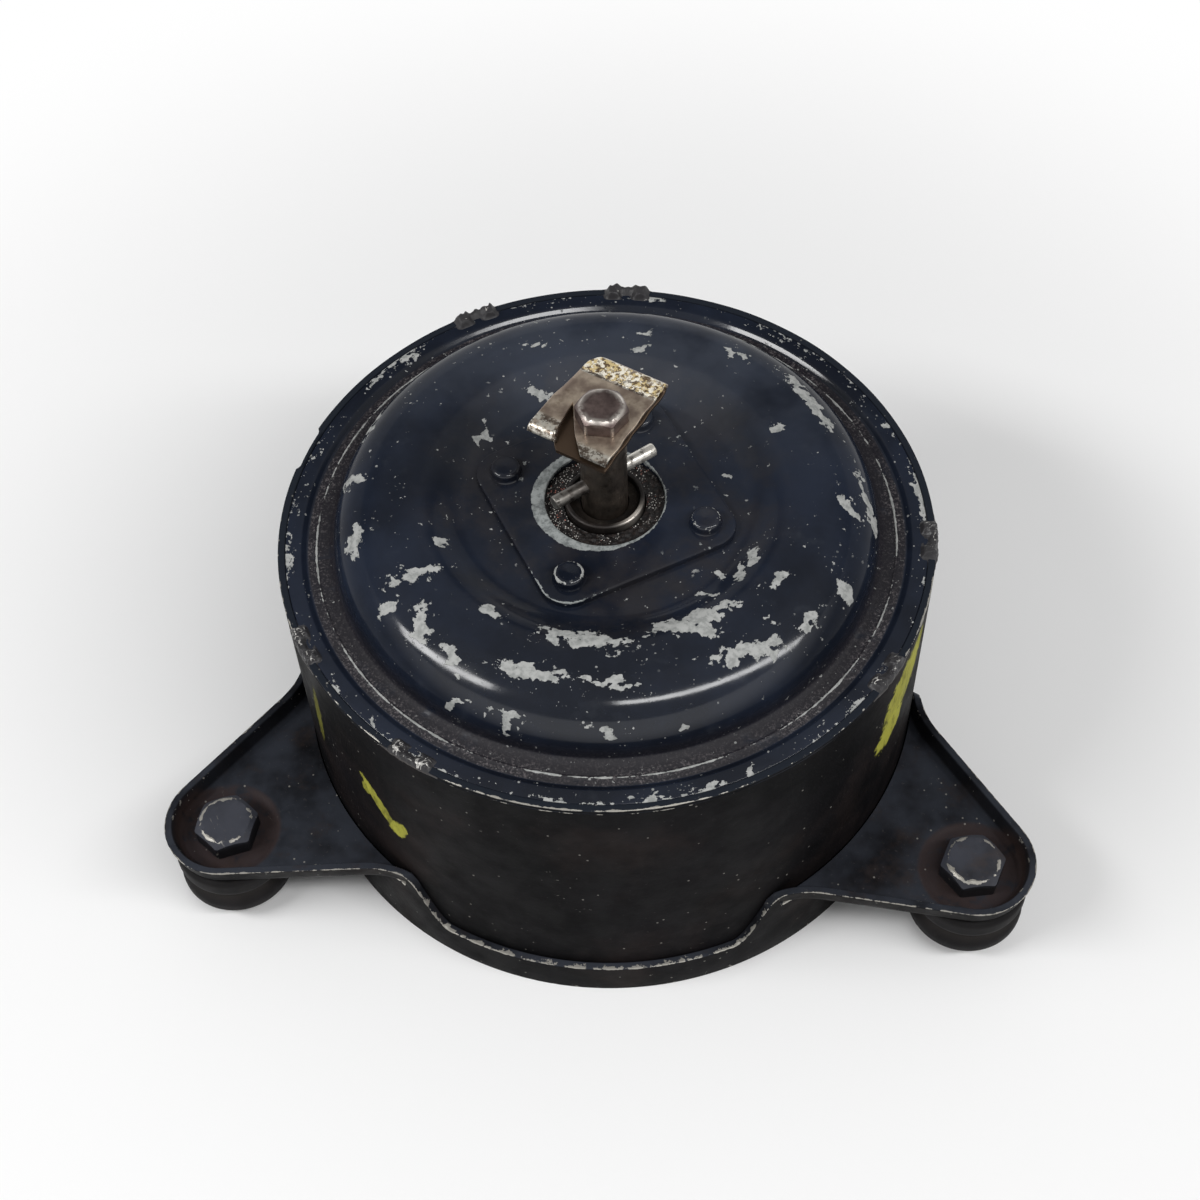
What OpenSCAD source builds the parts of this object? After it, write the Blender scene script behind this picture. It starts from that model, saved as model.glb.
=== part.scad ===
// Radiator fan motor: a permanent-magnet motor in a drum, held by a three-eared
// bracket on rubber mounts, with the fan's clip still bolted to its shaft.
// Millimetres, +Z towards the fan. The origin is the centre of the flat base.

/* [Drum] */
// Outside diameter of the drum
drum_d = 144; // [136:1:152]
// Height of the drum from the base to its rim
drum_h = 77.5; // [76:0.5:84]
// Thickness of the drum's wall
drum_wall = 2.4; // [2:0.1:3]
// Thickness of the drum's base
base_t = 2.2; // [1.6:0.1:3]
// Radius of the rounded edge between wall and base
base_edge_r = 3; // [2.6:0.2:5]
// Radius of the pressed-in centre of the base
base_pocket_r = 17; // [16:0.5:24]
// Depth of the pressed-in centre of the base
base_pocket_depth = 3; // [1:0.5:3.5]

/* [Front cover] */
// Thickness of the pressed cover
cover_t = 1.6; // [1.2:0.1:2]
// Width of the cover's flat rim
rim_w = 3.4; // [2.5:0.1:5]
// Depth of the step inside the rim
rim_step = 0.9; // [0.4:0.1:1.4]
// Width of the flat ring between the rim's step and the dome's foot
ring_w = 4.75; // [3.5:0.25:6]
// Height of the dome's crown above the drum's rim
dome_h = 12.5; // [10:0.5:15]
// Radius of the dome's rounded shoulder
shoulder_r = 12; // [9:0.5:13]
// Width of the slope between the dish's edge and its floor
dish_run = 7.5; // [6.5:0.5:8.5]
// Depth of the dish in the crown
dish_depth = 4; // [2.5:0.5:4.5]
// Number of pairs of staked lips that hold the cover
stake_pairs = 3; // [2:1:4]

/* [Bearing plate] */
// Thickness of the square bearing plate
plate_t = 1.5; // [1:0.1:2]
// Radius of the circle through the plate's rivets
rivet_circle_r = 22.8; // [21.5:0.1:24]
// Radius of the plate's rounded corners
plate_corner_r = 6.5; // [5:0.1:7]
// Gap between the plate's corners and the dish's slope
plate_gap = 2.2; // [1.2:0.2:3]
// Radius of the hole round the shaft
plate_hole_r = 13; // [12.5:0.1:13.6]
// Radius of a rivet's head
rivet_head_r = 3.4; // [2.8:0.1:3.8]
// Height of a rivet's head
rivet_head_h = 2.3; // [1.8:0.1:2.6]

/* [Bracket] */
// Thickness of the bracket's sheet
sheet_t = 1.8; // [1.4:0.1:2.2]
// Height of the band between the ears
band_h = 9.5; // [8:0.5:12]
// Radius of the circle through the ears' bolts
bolt_circle_r = 98.1; // [96:0.1:102]
// Radius of an ear's round tip
ear_tip_r = 14; // [13.8:0.1:16]
// Angle between an ear's middle and the square to its side
ear_side_angle = 66; // [62:0.5:70]
// Radius of the curve where an ear's side meets the band
ear_fillet_r = 20; // [16:0.5:24]
// Height of the ear's floor above the base
ear_floor_z = 20.5; // [19:0.5:24]
// Height of the ear's turned-up edge above its floor
ear_flange_h = 4.5; // [3:0.5:6]

/* [Rubber mounts] */
// Radius of a rubber mount
rubber_r = 13.2; // [12:0.1:14]
// Height of the rubber mounts' lower faces above the base
rubber_z = 4; // [3:0.5:6]

/* [Shaft] */
// Diameter of the shaft
shaft_d = 10; // [9:0.5:10.5]
// Height of the shaft's front end above the dome's crown
shaft_rise = 22.5; // [21:0.5:26]
// Diameter of the cross pin that drives the fan
pin_d = 3; // [2:0.1:3.4]
// Length of the cross pin
pin_len = 25.8; // [22:0.2:28]
// Height of the cross pin above the dome's crown
pin_rise = 4.8; // [4:0.1:7]
// Angle of the cross pin about the shaft
pin_angle = 38.5; // [0:0.5:180]

/* [Fan clip] */
// Thickness of the clip's spring sheet
clip_t = 0.9; // [0.7:0.1:1.1]
// Gap between the clip's two leaves
clip_gap = 1.3; // [1:0.1:1.6]
// Angle of the clip's length about the shaft
clip_angle = 63.5; // [0:0.5:180]

/* [Armature and field] */
// Thickness of the field magnets
magnet_t = 12.3; // [10:0.1:14]
// Length by which a magnet reaches past each end of the core
magnet_over = 6.5; // [5:0.5:6.5]
// Length of the winding's crown in front of the core
overhang_front = 7; // [6:0.5:8]
// Number of slots in the armature core
slots = 16; // [12:1:18]
// Air gap between the core and the magnets
air_gap = 1; // [0.6:0.1:1.5]
// Number of field magnets
poles = 4; // [4:2:6]
// Radius of the commutator's brush track
comm_r = 17; // [16.5:0.1:17.5]
// Number of commutator bars
bars = 32; // [24:1:36]

/* [Brush gear] */
// Width of a brush
brush_w = 8; // [6:0.5:9]
// Height of a brush
brush_h = 7.5; // [6:0.5:8]
// Length of a brush
brush_len = 15; // [12:0.5:16]
// Thickness of a brush box's sheet
box_t = 0.8; // [0.6:0.1:1]

/* [Hidden] */
$fn = 64;
eps = 0.01;

// Clearances
snug = 0.05;
loose = 0.3;
run_fit = 0.04;

// Drum and cover levels
drum_r = drum_d / 2;
wall_top_t = 1.6;
cover_r = drum_r - wall_top_t - snug;
cover_sink = 0.2;
rim_z = drum_h - cover_sink;
seat_z = rim_z - cover_t;
rim_in_r = cover_r - rim_w;
step_run = 1.2;
annulus_z = rim_z - rim_step;
foot_r = 1.5;
dome_r = rim_in_r - step_run - ring_w - foot_r;
crown_z = drum_h + dome_h;
dish_floor_z = crown_z - dish_depth;
dish_r = rivet_circle_r + plate_corner_r + plate_gap + dish_run;
stake_half = 4;
stake_gap = 1.3;
stake_first = 90;
stake_apart = 30;
notch_from = 160.5;
notch_to = 169.5;
notch_depth = 0.7;
notch_h = 2;

// Bearings: the front bush is centred above the pocket's floor
bush_r = 10.5;
bush_bore_r = shaft_d / 2 + run_fit;
pocket_r = 14;
pocket_depth = 13.6;
pocket_floor_z = dish_floor_z - pocket_depth;
bush_drop = 7;
bush_z = dish_floor_z - bush_drop;
bush_low = 5.8;
neck_r = 8.7;
neck_bore_r = 7.6;
neck_rise = 0.5;
neck_top = dish_floor_z + plate_t + neck_rise;
neck_depth = 3;
retainer_t = 0.8;
retainer_lap = 1.2;
retainer_r = pocket_r + retainer_lap;
rear_bush_r = 9;
rear_half = 5;
rear_floor_z = base_t + base_pocket_depth;
rear_bush_rise = 7.3;
rear_bush_z = rear_floor_z + rear_bush_rise;
rear_cup_r = 12.2;
rear_cup_t = 1.6;
rear_cup_rise = 3.5;
rear_cup_top = rear_bush_z + rear_cup_rise;
pad_t = 1.4;
pad_r = 4.5;
felt_h = 7;
felt_drop = 4;
rear_felt_h = 6;
felt_gap = 0.2;
shaft_gap = 0.2;
shaft_low_z = rear_floor_z + pad_t + shaft_gap;
shaft_top_z = crown_z + shaft_rise;
pin_z = crown_z + pin_rise;
washer_r = 7.5;
washer_t = 1.2;

// Bearing plate
plate_z = dish_floor_z;
plate_top = plate_z + plate_t;
rivet_first = 75;
rivet_shank_r = 1.75;
rivet_tail_h = 1.6;

// Bracket
band_in_r = drum_r + snug;
band_r = band_in_r + sheet_t;
ears = [90, 210, 330];
flange_z = ear_floor_z + ear_flange_h;
ear_under_z = ear_floor_z - sheet_t;
recess_depth = 0.8;
recess_r = 10.8;
recess_floor_z = ear_floor_z - recess_depth;
recess_under_z = recess_floor_z - sheet_t;
flare = 1.2;
s_from = 24.5;
s_to = 34;
fall_z = band_h + 0.3;
fall_top = flange_z + 0.4;
ear_hole_r = 4.2;

// Ear bolts (M8) and mounts
m8_r = 4;
m8_af = 13;
m8_head_h = 5.3;
bolt_len = 7.6;
bolt_turn = [0, 22, 10];
insert_r = 9;
insert_hub_r = 6.5;
insert_t = 1.5;
insert_hub = 4;
thread_r = 3.4;
thread_depth = 5;
upper_hub = 4.6;

// Clip bolt (M6)
m6_r = 3;
m6_af = 10;
m6_head_h = 4;
clip_bolt_len = 14;
clip_top_z = shaft_top_z + clip_t;

// Commutator and brush gear, from the front bush's pocket down
comm_gap = 0.9;
comm_top = pocket_floor_z - cover_t - comm_gap;
riser_h = 2.5;
riser_w = 1.9;
bar_gap = 0.6;
bar_cut = 1.5;
hub_r = 11;
brush_plate_t = 2;
brush_plate_z = comm_top + 0.1;
brush_plate_r = 50;
brush_plate_in_r = 19.5;
brush_start = comm_r + loose;
brush_clear = 0.15;
box_in_w = brush_w + 2 * brush_clear;
box_in_h = brush_h + 2 * brush_clear;
box_from = comm_r + 2;
spring_len = 4.8;
spring_r = 3;
spring_wire = 0.8;
box_end = brush_start + brush_len + spring_len;
brush_mid_z = brush_plate_z - box_t - box_in_h / 2;
box_low_z = brush_mid_z - box_in_h / 2 - box_t;
brush_angles = [0, 90, 180, 270];
post_r = 3;
post_in = 4.5;
post_circle_r = dish_r + post_in;

// Armature and magnets, between the rear bush and the brush boxes
magnet_r = drum_r - drum_wall - loose;
core_r = magnet_r - magnet_t - air_gap;
core_rise = 9.5;
core_z = rear_bush_z + core_rise;
winding_gap = 0.6;
core_top = box_low_z - winding_gap - overhang_front;
core_len = core_top - core_z;
comm_z = core_top + 5.5;
overhang_rear = 6.5;
winding_in_r = comm_r + 2.2;
winding_r = core_r - 6;
crown_edge = 3;
crown_run = 8;
slot_len = 21;
slot_w = 7;
slot_mouth = 2;
magnet_arc = 0.74;
magnet_z = core_z - magnet_over;
magnet_len = core_len + 2 * magnet_over;

// Lead grommet, above the end of a magnet
grommet_angle = 45;
grommet_r = 6;
grommet_gap = 0.5;
grommet_z = magnet_z + magnet_len + grommet_gap + grommet_r;
grommet_flange_r = 8.5;
grommet_lip = 1.6;
lead_r = 1.6;
lead_space = 2.6;

// Points along an arc, from angle a to angle b
function arc(x, y, r, a, b, n) =
    [for (i = [0:n]) [x + r * cos(a + (b - a) * i / n), y + r * sin(a + (b - a) * i / n)]];
// A cosine ease from 0 to 1
function ease(t) = (1 - cos(180 * t)) / 2;
function unit(v) = v / norm(v);
// Unit normal at point i of an open profile, to the right of its travel
function normal_at(p, i) =
    let (a = p[max(i - 1, 0)], b = p[min(i + 1, len(p) - 1)], d = unit(b - a)) [d[1], -d[0]];
// Lower face of a sheet whose upper face follows the profile, from its far end
// back to the point numbered from
function under_face(p, t, from) = [for (i = [len(p) - 1:-1:from]) p[i] - t * normal_at(p, i)];

// Upper face of the cover, from its rim in to the pocket round the bush
cover_profile = concat(
    [[cover_r, rim_z - 0.3], [cover_r - 0.3, rim_z], [rim_in_r, rim_z],
     [rim_in_r - step_run, annulus_z]],
    arc(dome_r + foot_r, annulus_z + foot_r, foot_r, 270, 180, 4),
    arc(dome_r - shoulder_r, crown_z - shoulder_r, shoulder_r, 0, 90, 12),
    [for (i = [0:8]) [dish_r - dish_run * i / 8, crown_z - dish_depth * ease(i / 8)]],
    [[pocket_r, dish_floor_z]]);

module ring(r_out, r_in, z, h) {
    translate([0, 0, z]) difference() {
        cylinder(r = r_out, h = h, $fn = 96);
        translate([0, 0, -eps]) cylinder(r = r_in, h = h + 2 * eps, $fn = 96);
    }
}

// A length of ring with a square section, between two angles
module sector(r_out, r_in, z, h, from, to) {
    rotate([0, 0, from]) rotate_extrude(angle = to - from, $fn = 96)
        translate([r_in, z]) square([r_out - r_in, h]);
}

// A chamfered hexagon head with its base at z = 0
module hex_head(af, h) {
    intersection() {
        cylinder(r = af / sqrt(3), h = h, $fn = 6);
        cylinder(r1 = af / 2 + h * 1.9, r2 = af / 2 * 0.9, h = h, $fn = 64);
    }
}

// A ball-shaped bush about z = 0, cut flat below and above
module ball_bush(r, low, high, bore) {
    difference() {
        intersection() {
            sphere(r = r, $fn = 64);
            translate([0, 0, -low]) cylinder(r = r + 1, h = low + high, $fn = 64);
        }
        translate([0, 0, -r]) cylinder(r = bore, h = 2 * r, $fn = 64);
    }
}

// Drum: a drawn steel cup, bored at the top for the cover and staked over it
module stake_lip(at) {
    lip_z = rim_z + snug;
    rotate([0, 0, at]) rotate_extrude(angle = stake_half - stake_gap, $fn = 96)
        polygon([[cover_r - 1.8, lip_z], [drum_r - 0.2, lip_z], [drum_r - 0.6, lip_z + 0.9],
                 [cover_r - 0.6, lip_z + 0.8], [cover_r - 1.7, lip_z + 0.4]]);
}

module drum() {
    in_r = drum_r - drum_wall;
    edge_in = base_edge_r - base_t;
    color([0.12, 0.11, 0.11]) union() {
        difference() {
            rotate_extrude($fn = 128) polygon(concat(
                [[0, base_pocket_depth], [base_pocket_r, base_pocket_depth],
                 [base_pocket_r + base_t, 0]],
                arc(drum_r - base_edge_r, base_edge_r, base_edge_r, 270, 360, 6),
                [[drum_r, drum_h], [cover_r + snug, drum_h], [cover_r + snug, seat_z],
                 [in_r, seat_z]],
                arc(in_r - edge_in, base_t + edge_in, edge_in, 0, -90, 3),
                [[base_pocket_r + base_t, base_t], [base_pocket_r, rear_floor_z],
                 [0, rear_floor_z]]));
            sector(drum_r + 1, drum_r - notch_depth, drum_h - notch_h, notch_h + 1,
                   notch_from, notch_to);
            rotate([0, 90, grommet_angle]) translate([-grommet_z, 0, drum_r - drum_wall - 2])
                cylinder(r = grommet_r + snug, h = drum_wall + 4, $fn = 48);
        }
        // Cup for the rear bush
        ring(rear_cup_r + rear_cup_t, rear_cup_r, rear_floor_z - eps,
             rear_cup_top - rear_floor_z + eps);
        ring(rear_cup_r + eps, sqrt(pow(rear_bush_r, 2) - pow(rear_half - 1, 2)) + 0.1,
             rear_bush_z - rear_half, 1);
        for (i = [0:stake_pairs - 1]) for (k = [0, 1]) {
            at = stake_first + i * 360 / stake_pairs + k * stake_apart;
            stake_lip(at + stake_gap);
            stake_lip(at - stake_half);
        }
    }
}

// Front cover: a pressed dome with a dished crown and a pocket for the bush
module front_cover() {
    seat_r = sqrt(pow(bush_r, 2) - pow(bush_z - pocket_floor_z, 2)) + 0.1;
    color([0.14, 0.16, 0.2]) difference() {
        union() {
            rotate_extrude($fn = 128) polygon(concat(cover_profile,
                under_face(cover_profile, cover_t, 2), [[cover_r, seat_z]]));
            ring(pocket_r + cover_t, pocket_r, pocket_floor_z - cover_t,
                 dish_floor_z - pocket_floor_z + cover_t / 2);
            ring(pocket_r + eps, seat_r, pocket_floor_z - cover_t, cover_t);
        }
        translate([0, 0, dish_floor_z - retainer_t - snug])
            cylinder(r = retainer_r + snug, h = 2, $fn = 96);
        for (i = [0:3]) rotate([0, 0, rivet_first + 90 * i])
            translate([rivet_circle_r, 0, dish_floor_z - cover_t - 1])
                cylinder(r = rivet_shank_r + snug, h = cover_t + 2, $fn = 32);
    }
}

// Bearing plate: a square plate with round corners, riveted in the dish
module bearing_plate() {
    corner = rivet_circle_r;
    color([0.15, 0.17, 0.21]) translate([0, 0, plate_z]) difference() {
        hull() for (i = [0:3]) rotate([0, 0, rivet_first + 90 * i])
            translate([corner, 0, 0]) cylinder(r = plate_corner_r, h = plate_t, $fn = 32);
        translate([0, 0, -1]) cylinder(r = plate_hole_r, h = plate_t + 2, $fn = 96);
        for (i = [0:3]) rotate([0, 0, rivet_first + 90 * i]) translate([corner, 0, -1])
            cylinder(r = rivet_shank_r + snug, h = plate_t + 2, $fn = 32);
    }
}

// Rivets: a domed head on the plate, and a tail formed under the cover
module cover_rivets() {
    under = dish_floor_z - cover_t;
    color([0.2, 0.21, 0.24]) for (i = [0:3]) rotate([0, 0, rivet_first + 90 * i])
        translate([rivet_circle_r, 0, 0]) rotate_extrude($fn = 48) polygon(concat(
            [[0, under - rivet_tail_h], [rivet_shank_r + 0.9, under - rivet_tail_h],
             [rivet_shank_r + 1.2, under], [rivet_shank_r, under],
             [rivet_shank_r, plate_top], [rivet_head_r, plate_top],
             [rivet_head_r, plate_top + rivet_head_h * 0.55]],
            [[rivet_head_r * 0.9, plate_top + rivet_head_h * 0.85],
             [rivet_head_r * 0.68, plate_top + rivet_head_h],
             [0, plate_top + rivet_head_h]]));
}

// Front bush: a sintered ball bush with a neck that stands up through the plate
module front_bush() {
    top_cut = sqrt(pow(bush_r, 2) - pow(neck_r, 2));
    color([0.45, 0.4, 0.33]) translate([0, 0, bush_z]) difference() {
        union() {
            ball_bush(bush_r, bush_low, top_cut, bush_bore_r);
            translate([0, 0, top_cut - eps]) cylinder(r = neck_r, h = neck_top - bush_z - top_cut,
                                                      $fn = 64);
        }
        translate([0, 0, -bush_r]) cylinder(r = bush_bore_r, h = 3 * bush_r, $fn = 64);
        translate([0, 0, neck_top - bush_z - neck_depth])
            cylinder(r = neck_bore_r, h = neck_depth + 1, $fn = 64);
    }
}

// Retainer: a pressed ring held under the plate, with a skirt on the ball
module front_bush_retainer() {
    top = dish_floor_z - snug;
    hole = neck_r + loose;
    skirt = 1.2;
    color([0.3, 0.27, 0.23]) rotate_extrude($fn = 96) polygon([
        [hole, top], [retainer_r, top], [retainer_r, top - retainer_t + snug],
        [hole + 1.6, top - retainer_t + snug], [hole + 1.4, top - retainer_t - skirt],
        [hole + 0.6, top - retainer_t - skirt], [hole, top - retainer_t + snug]]);
}

// Oil felt: a felt ring round the front bush
module front_oil_felt() {
    color([0.36, 0.3, 0.2]) ring(pocket_r - felt_gap, bush_r + felt_gap,
                                  bush_z - felt_drop, felt_h);
}

// Dust felt: a thin felt ring in the bush's neck, round the shaft
module dust_felt() {
    color([0.22, 0.18, 0.14])
        ring(neck_bore_r - snug, shaft_d / 2 + loose, neck_top - neck_depth, 1.2);
}

module rear_bush() {
    color([0.5, 0.43, 0.34]) translate([0, 0, rear_bush_z])
        ball_bush(rear_bush_r, rear_half, rear_half, bush_bore_r);
}

module rear_bush_retainer() {
    on_ball = sqrt(pow(rear_bush_r, 2) - pow(rear_cup_top - rear_bush_z, 2));
    color([0.5, 0.5, 0.48]) ring(rear_cup_r + rear_cup_t, on_ball + 0.1, rear_cup_top, 0.8);
}

module rear_oil_felt() {
    color([0.36, 0.3, 0.2])
        ring(rear_cup_r - felt_gap / 2, rear_bush_r + felt_gap, rear_bush_z - rear_half + 1.1,
             rear_felt_h);
}

module thrust_pad() {
    color([0.85, 0.82, 0.7]) translate([0, 0, rear_floor_z]) cylinder(r = pad_r, h = pad_t);
}

// Field magnets: curved blocks against the drum's wall
module field_magnets() {
    span = 360 / poles * magnet_arc;
    color([0.2, 0.2, 0.21]) for (i = [0:poles - 1])
        sector(magnet_r, core_r + air_gap, magnet_z, magnet_len,
               (i + 0.5) * 360 / poles - span / 2, (i + 0.5) * 360 / poles + span / 2);
}

// Brush plate: an insulating ring that carries the four brush boxes
module brush_plate() {
    color([0.42, 0.27, 0.14]) difference() {
        ring(brush_plate_r, brush_plate_in_r, brush_plate_z, brush_plate_t);
        for (i = [0:2]) rotate([0, 0, 45 + 120 * i])
            translate([post_circle_r, 0, brush_plate_z - 1])
                cylinder(r = post_r * 0.6 + snug, h = brush_plate_t + 2, $fn = 32);
    }
}

// Posts: three shouldered pins from the cover's crown down to the brush plate
module brush_plate_posts() {
    top = crown_z - cover_t - snug;
    shoulder = brush_plate_z + brush_plate_t;
    color([0.6, 0.6, 0.62]) for (i = [0:2]) rotate([0, 0, 45 + 120 * i])
        translate([post_circle_r, 0, 0]) union() {
            translate([0, 0, shoulder]) cylinder(r = post_r, h = top - shoulder, $fn = 48);
            translate([0, 0, brush_plate_z - 1.2])
                cylinder(r = post_r * 0.6, h = brush_plate_t + 1.2 + eps, $fn = 32);
        }
}

// Brush boxes: open brass channels under the plate, closed at their outer end
module brush_boxes() {
    color([0.72, 0.58, 0.28]) for (a = brush_angles) rotate([0, 0, a]) difference() {
        translate([box_from, -box_in_w / 2 - box_t, brush_mid_z - box_in_h / 2 - box_t])
            cube([box_end + box_t - box_from, box_in_w + 2 * box_t, box_in_h + 2 * box_t]);
        translate([box_from - 1, -box_in_w / 2, brush_mid_z - box_in_h / 2])
            cube([box_end - box_from + 1, box_in_w, box_in_h]);
    }
}

module brush_spring(a) {
    color([0.7, 0.7, 0.72]) rotate([0, 0, a])
        translate([brush_start + brush_len, 0, brush_mid_z]) rotate([0, 90, 0]) difference() {
            cylinder(r = spring_r, h = spring_len, $fn = 32);
            translate([0, 0, -1]) cylinder(r = spring_r - spring_wire, h = spring_len + 2,
                                           $fn = 32);
        }
}

// Brush: a carbon block with its inner end hollowed to the commutator
module brush(a) {
    color([0.13, 0.13, 0.14]) rotate([0, 0, a]) difference() {
        translate([comm_r - 1, -brush_w / 2, brush_mid_z - brush_h / 2])
            cube([brush_start + brush_len - comm_r + 1, brush_w, brush_h]);
        cylinder(r = brush_start, h = crown_z, $fn = 96);
    }
}

// Grommet for the two leads, in the drum's wall
module lead_grommet() {
    in_x = drum_r - drum_wall;
    color([0.08, 0.08, 0.08]) rotate([0, 0, grommet_angle]) translate([0, 0, grommet_z])
        rotate([0, 90, 0]) difference() {
            union() {
                translate([0, 0, in_x - grommet_lip])
                    cylinder(r = grommet_r, h = drum_wall + 2 * grommet_lip, $fn = 48);
                translate([0, 0, drum_r]) cylinder(r1 = grommet_flange_r, r2 = grommet_flange_r - 1,
                                                   h = grommet_lip, $fn = 48);
            }
            for (s = [-1, 1]) translate([0, s * lead_space, in_x - grommet_lip - 1])
                cylinder(r = lead_r, h = drum_wall + 2 * grommet_lip + 2, $fn = 32);
        }
}

// Outline of an ear about +X, drawn in by s from its outer edge: a round tip,
// straight sides and a hollow curve that runs into the band
function ear_half(s) =
    let (a = ear_side_angle,
         n = [cos(a), sin(a)],
         d = [-sin(a), cos(a)],
         line = bolt_circle_r * cos(a) + ear_tip_r,
         reach = line + ear_fillet_r,
         slide = sqrt(pow(band_r - 0.6 + ear_fillet_r, 2) - pow(reach, 2)),
         c = reach * n - slide * d,
         to_drum = atan2(-c[1], -c[0]))
    concat(arc(bolt_circle_r, 0, ear_tip_r - s, 0, a, 8),
           arc(c[0], c[1], ear_fillet_r + s, a + 180, to_drum + 360, 8),
           [(band_r - 12) * unit(c)]);
function mirrored(p) = [for (i = [len(p) - 1:-1:1]) [p[i][0], -p[i][1]]];
function ear_outline(s) = concat(ear_half(s), mirrored(ear_half(s)));

// Height of the band's upper edge beside an ear, at a distance y from its middle
function wall_height(y) =
    let (y0 = band_r * sin(s_from), y1 = band_r * sin(s_to), t = (abs(y) - y0) / (y1 - y0))
    fall_top + (fall_z - fall_top) * ease(min(1, max(0, t)));

// A level slab of the ear's outline, drawn in by s
module ear_slab(s, from, to) {
    translate([0, 0, from]) linear_extrude(height = to - from) polygon(ear_outline(s));
}

// Everything above the band's falling edge on one side of an ear
module above_fall(side) {
    y1 = band_r * sin(s_to);
    edge = [for (i = [0:16]) let (y = band_r * sin(s_from) * (1 - i / 16) + y1 * i / 16)
        [side * y, wall_height(y)]];
    translate([20, 0, 0]) rotate([90, 0, 90]) linear_extrude(height = drum_r)
        polygon(concat([[side * band_r * sin(s_from), flange_z + 4]], edge,
                       [[side * (y1 + 8), fall_z], [side * (y1 + 8), flange_z + 4]]));
}

// One ear: a shallow tray, whose edge and seat are cut by ear_hollow
module ear_block() {
    difference() {
        union() {
            ear_slab(flare + 1.2, ear_under_z, ear_under_z + 0.6);
            ear_slab(flare / 2 + 0.4, ear_under_z + 0.6, ear_floor_z);
            ear_slab(0, ear_floor_z - 0.2, flange_z + 1);
        }
        translate([0, 0, -1])
            cylinder(r = band_in_r + sheet_t / 2, h = flange_z + 3, $fn = 128);
    }
    translate([bolt_circle_r, 0, recess_under_z])
        cylinder(r = recess_r + 0.4, h = sheet_t, $fn = 64);
}

module ear_hollow() {
    ear_slab(flare + sheet_t, ear_floor_z, flange_z + 4);
    for (side = [-1, 1]) above_fall(side);
    translate([bolt_circle_r, 0, recess_floor_z])
        cylinder(r = recess_r, h = recess_depth + 0.5, $fn = 64);
    translate([bolt_circle_r, 0, 0]) cylinder(r = ear_hole_r, h = flange_z, $fn = 48);
}

// Bracket: a band round the foot of the drum with three ears
module mounting_bracket() {
    color([0.1, 0.1, 0.11]) difference() {
        union() {
            ring(band_r, band_in_r, 0, flange_z + 2);
            for (a = ears) rotate([0, 0, a]) ear_block();
        }
        translate([0, 0, flange_z]) cylinder(r = 2 * drum_r, h = 5, $fn = 64);
        for (a = ears) rotate([0, 0, a]) {
            ear_hollow();
            sector(band_r + 5, band_in_r - 5, band_h, flange_z, s_to + 0.5,
                   360 / len(ears) - s_to - 0.5);
        }
    }
}

module at_ears() {
    for (a = ears) rotate([0, 0, a]) translate([bolt_circle_r, 0, 0]) children();
}

// Ear bolts: M8, from above into the mounts' upper inserts
module ear_bolts() {
    color([0.3, 0.3, 0.31]) for (i = [0:2]) rotate([0, 0, ears[i]])
        translate([bolt_circle_r, 0, recess_floor_z]) union() {
            rotate([0, 0, bolt_turn[i]]) hex_head(m8_af, m8_head_h);
            translate([0, 0, -bolt_len]) cylinder(r = m8_r, h = bolt_len + eps, $fn = 48);
        }
}

// Rubber mount: a round buffer with a hollow waist, moulded on its two inserts
module rubber_mounts() {
    top = recess_under_z;
    mid = (rubber_z + top) / 2;
    lower_top = rubber_z + insert_t + insert_hub;
    color([0.07, 0.07, 0.07]) at_ears() rotate_extrude($fn = 96) polygon([
        [0, lower_top + snug], [insert_hub_r + snug, lower_top + snug],
        [insert_hub_r + snug, rubber_z + insert_t + snug],
        [insert_r + snug, rubber_z + insert_t + snug], [insert_r + snug, rubber_z],
        [rubber_r - 1.7, rubber_z], [rubber_r - 0.6, rubber_z + 0.5],
        [rubber_r, rubber_z + 1.7], [rubber_r, mid - 1.6], [rubber_r - 1.1, mid - 0.6],
        [rubber_r - 1.1, mid + 0.6], [rubber_r, mid + 1.6], [rubber_r, top - 0.8],
        [rubber_r - 0.8, top], [insert_r + snug, top], [insert_r + snug, top - insert_t - snug],
        [insert_hub_r + snug, top - insert_t - snug],
        [insert_hub_r + snug, top - insert_t - upper_hub - snug],
        [0, top - insert_t - upper_hub - snug]]);
}

module mount_insert(hub, hole, depth) {
    difference() {
        union() {
            cylinder(r = insert_r, h = insert_t, $fn = 64);
            cylinder(r = insert_hub_r, h = insert_t + hub, $fn = 64);
        }
        translate([0, 0, -eps]) cylinder(r = hole, h = depth + eps, $fn = 48);
    }
}

module mount_upper_inserts() {
    color([0.55, 0.55, 0.56]) at_ears() translate([0, 0, recess_under_z]) mirror([0, 0, 1])
        mount_insert(upper_hub, m8_r + snug, bolt_len - sheet_t + 0.2);
}

module mount_lower_inserts() {
    color([0.55, 0.55, 0.56]) at_ears() translate([0, 0, rubber_z])
        mount_insert(insert_hub, thread_r, thread_depth);
}

// Shaft: ground steel, cross-drilled for the pin and tapped for the clip's bolt
module shaft() {
    r = shaft_d / 2;
    color([0.4, 0.38, 0.36]) difference() {
        rotate_extrude($fn = 64) polygon([[0, shaft_low_z], [r - 0.6, shaft_low_z],
            [r, shaft_low_z + 0.6], [r, shaft_top_z - 0.6], [r - 0.6, shaft_top_z],
            [0, shaft_top_z]]);
        rotate([0, 90, pin_angle]) translate([-pin_z, 0, -shaft_d])
            cylinder(r = pin_d / 2 + run_fit / 2, h = 2 * shaft_d, $fn = 32);
        translate([0, 0, shaft_top_z - clip_bolt_len])
            cylinder(r = m6_r + run_fit, h = clip_bolt_len + 1, $fn = 48);
    }
}

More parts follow.
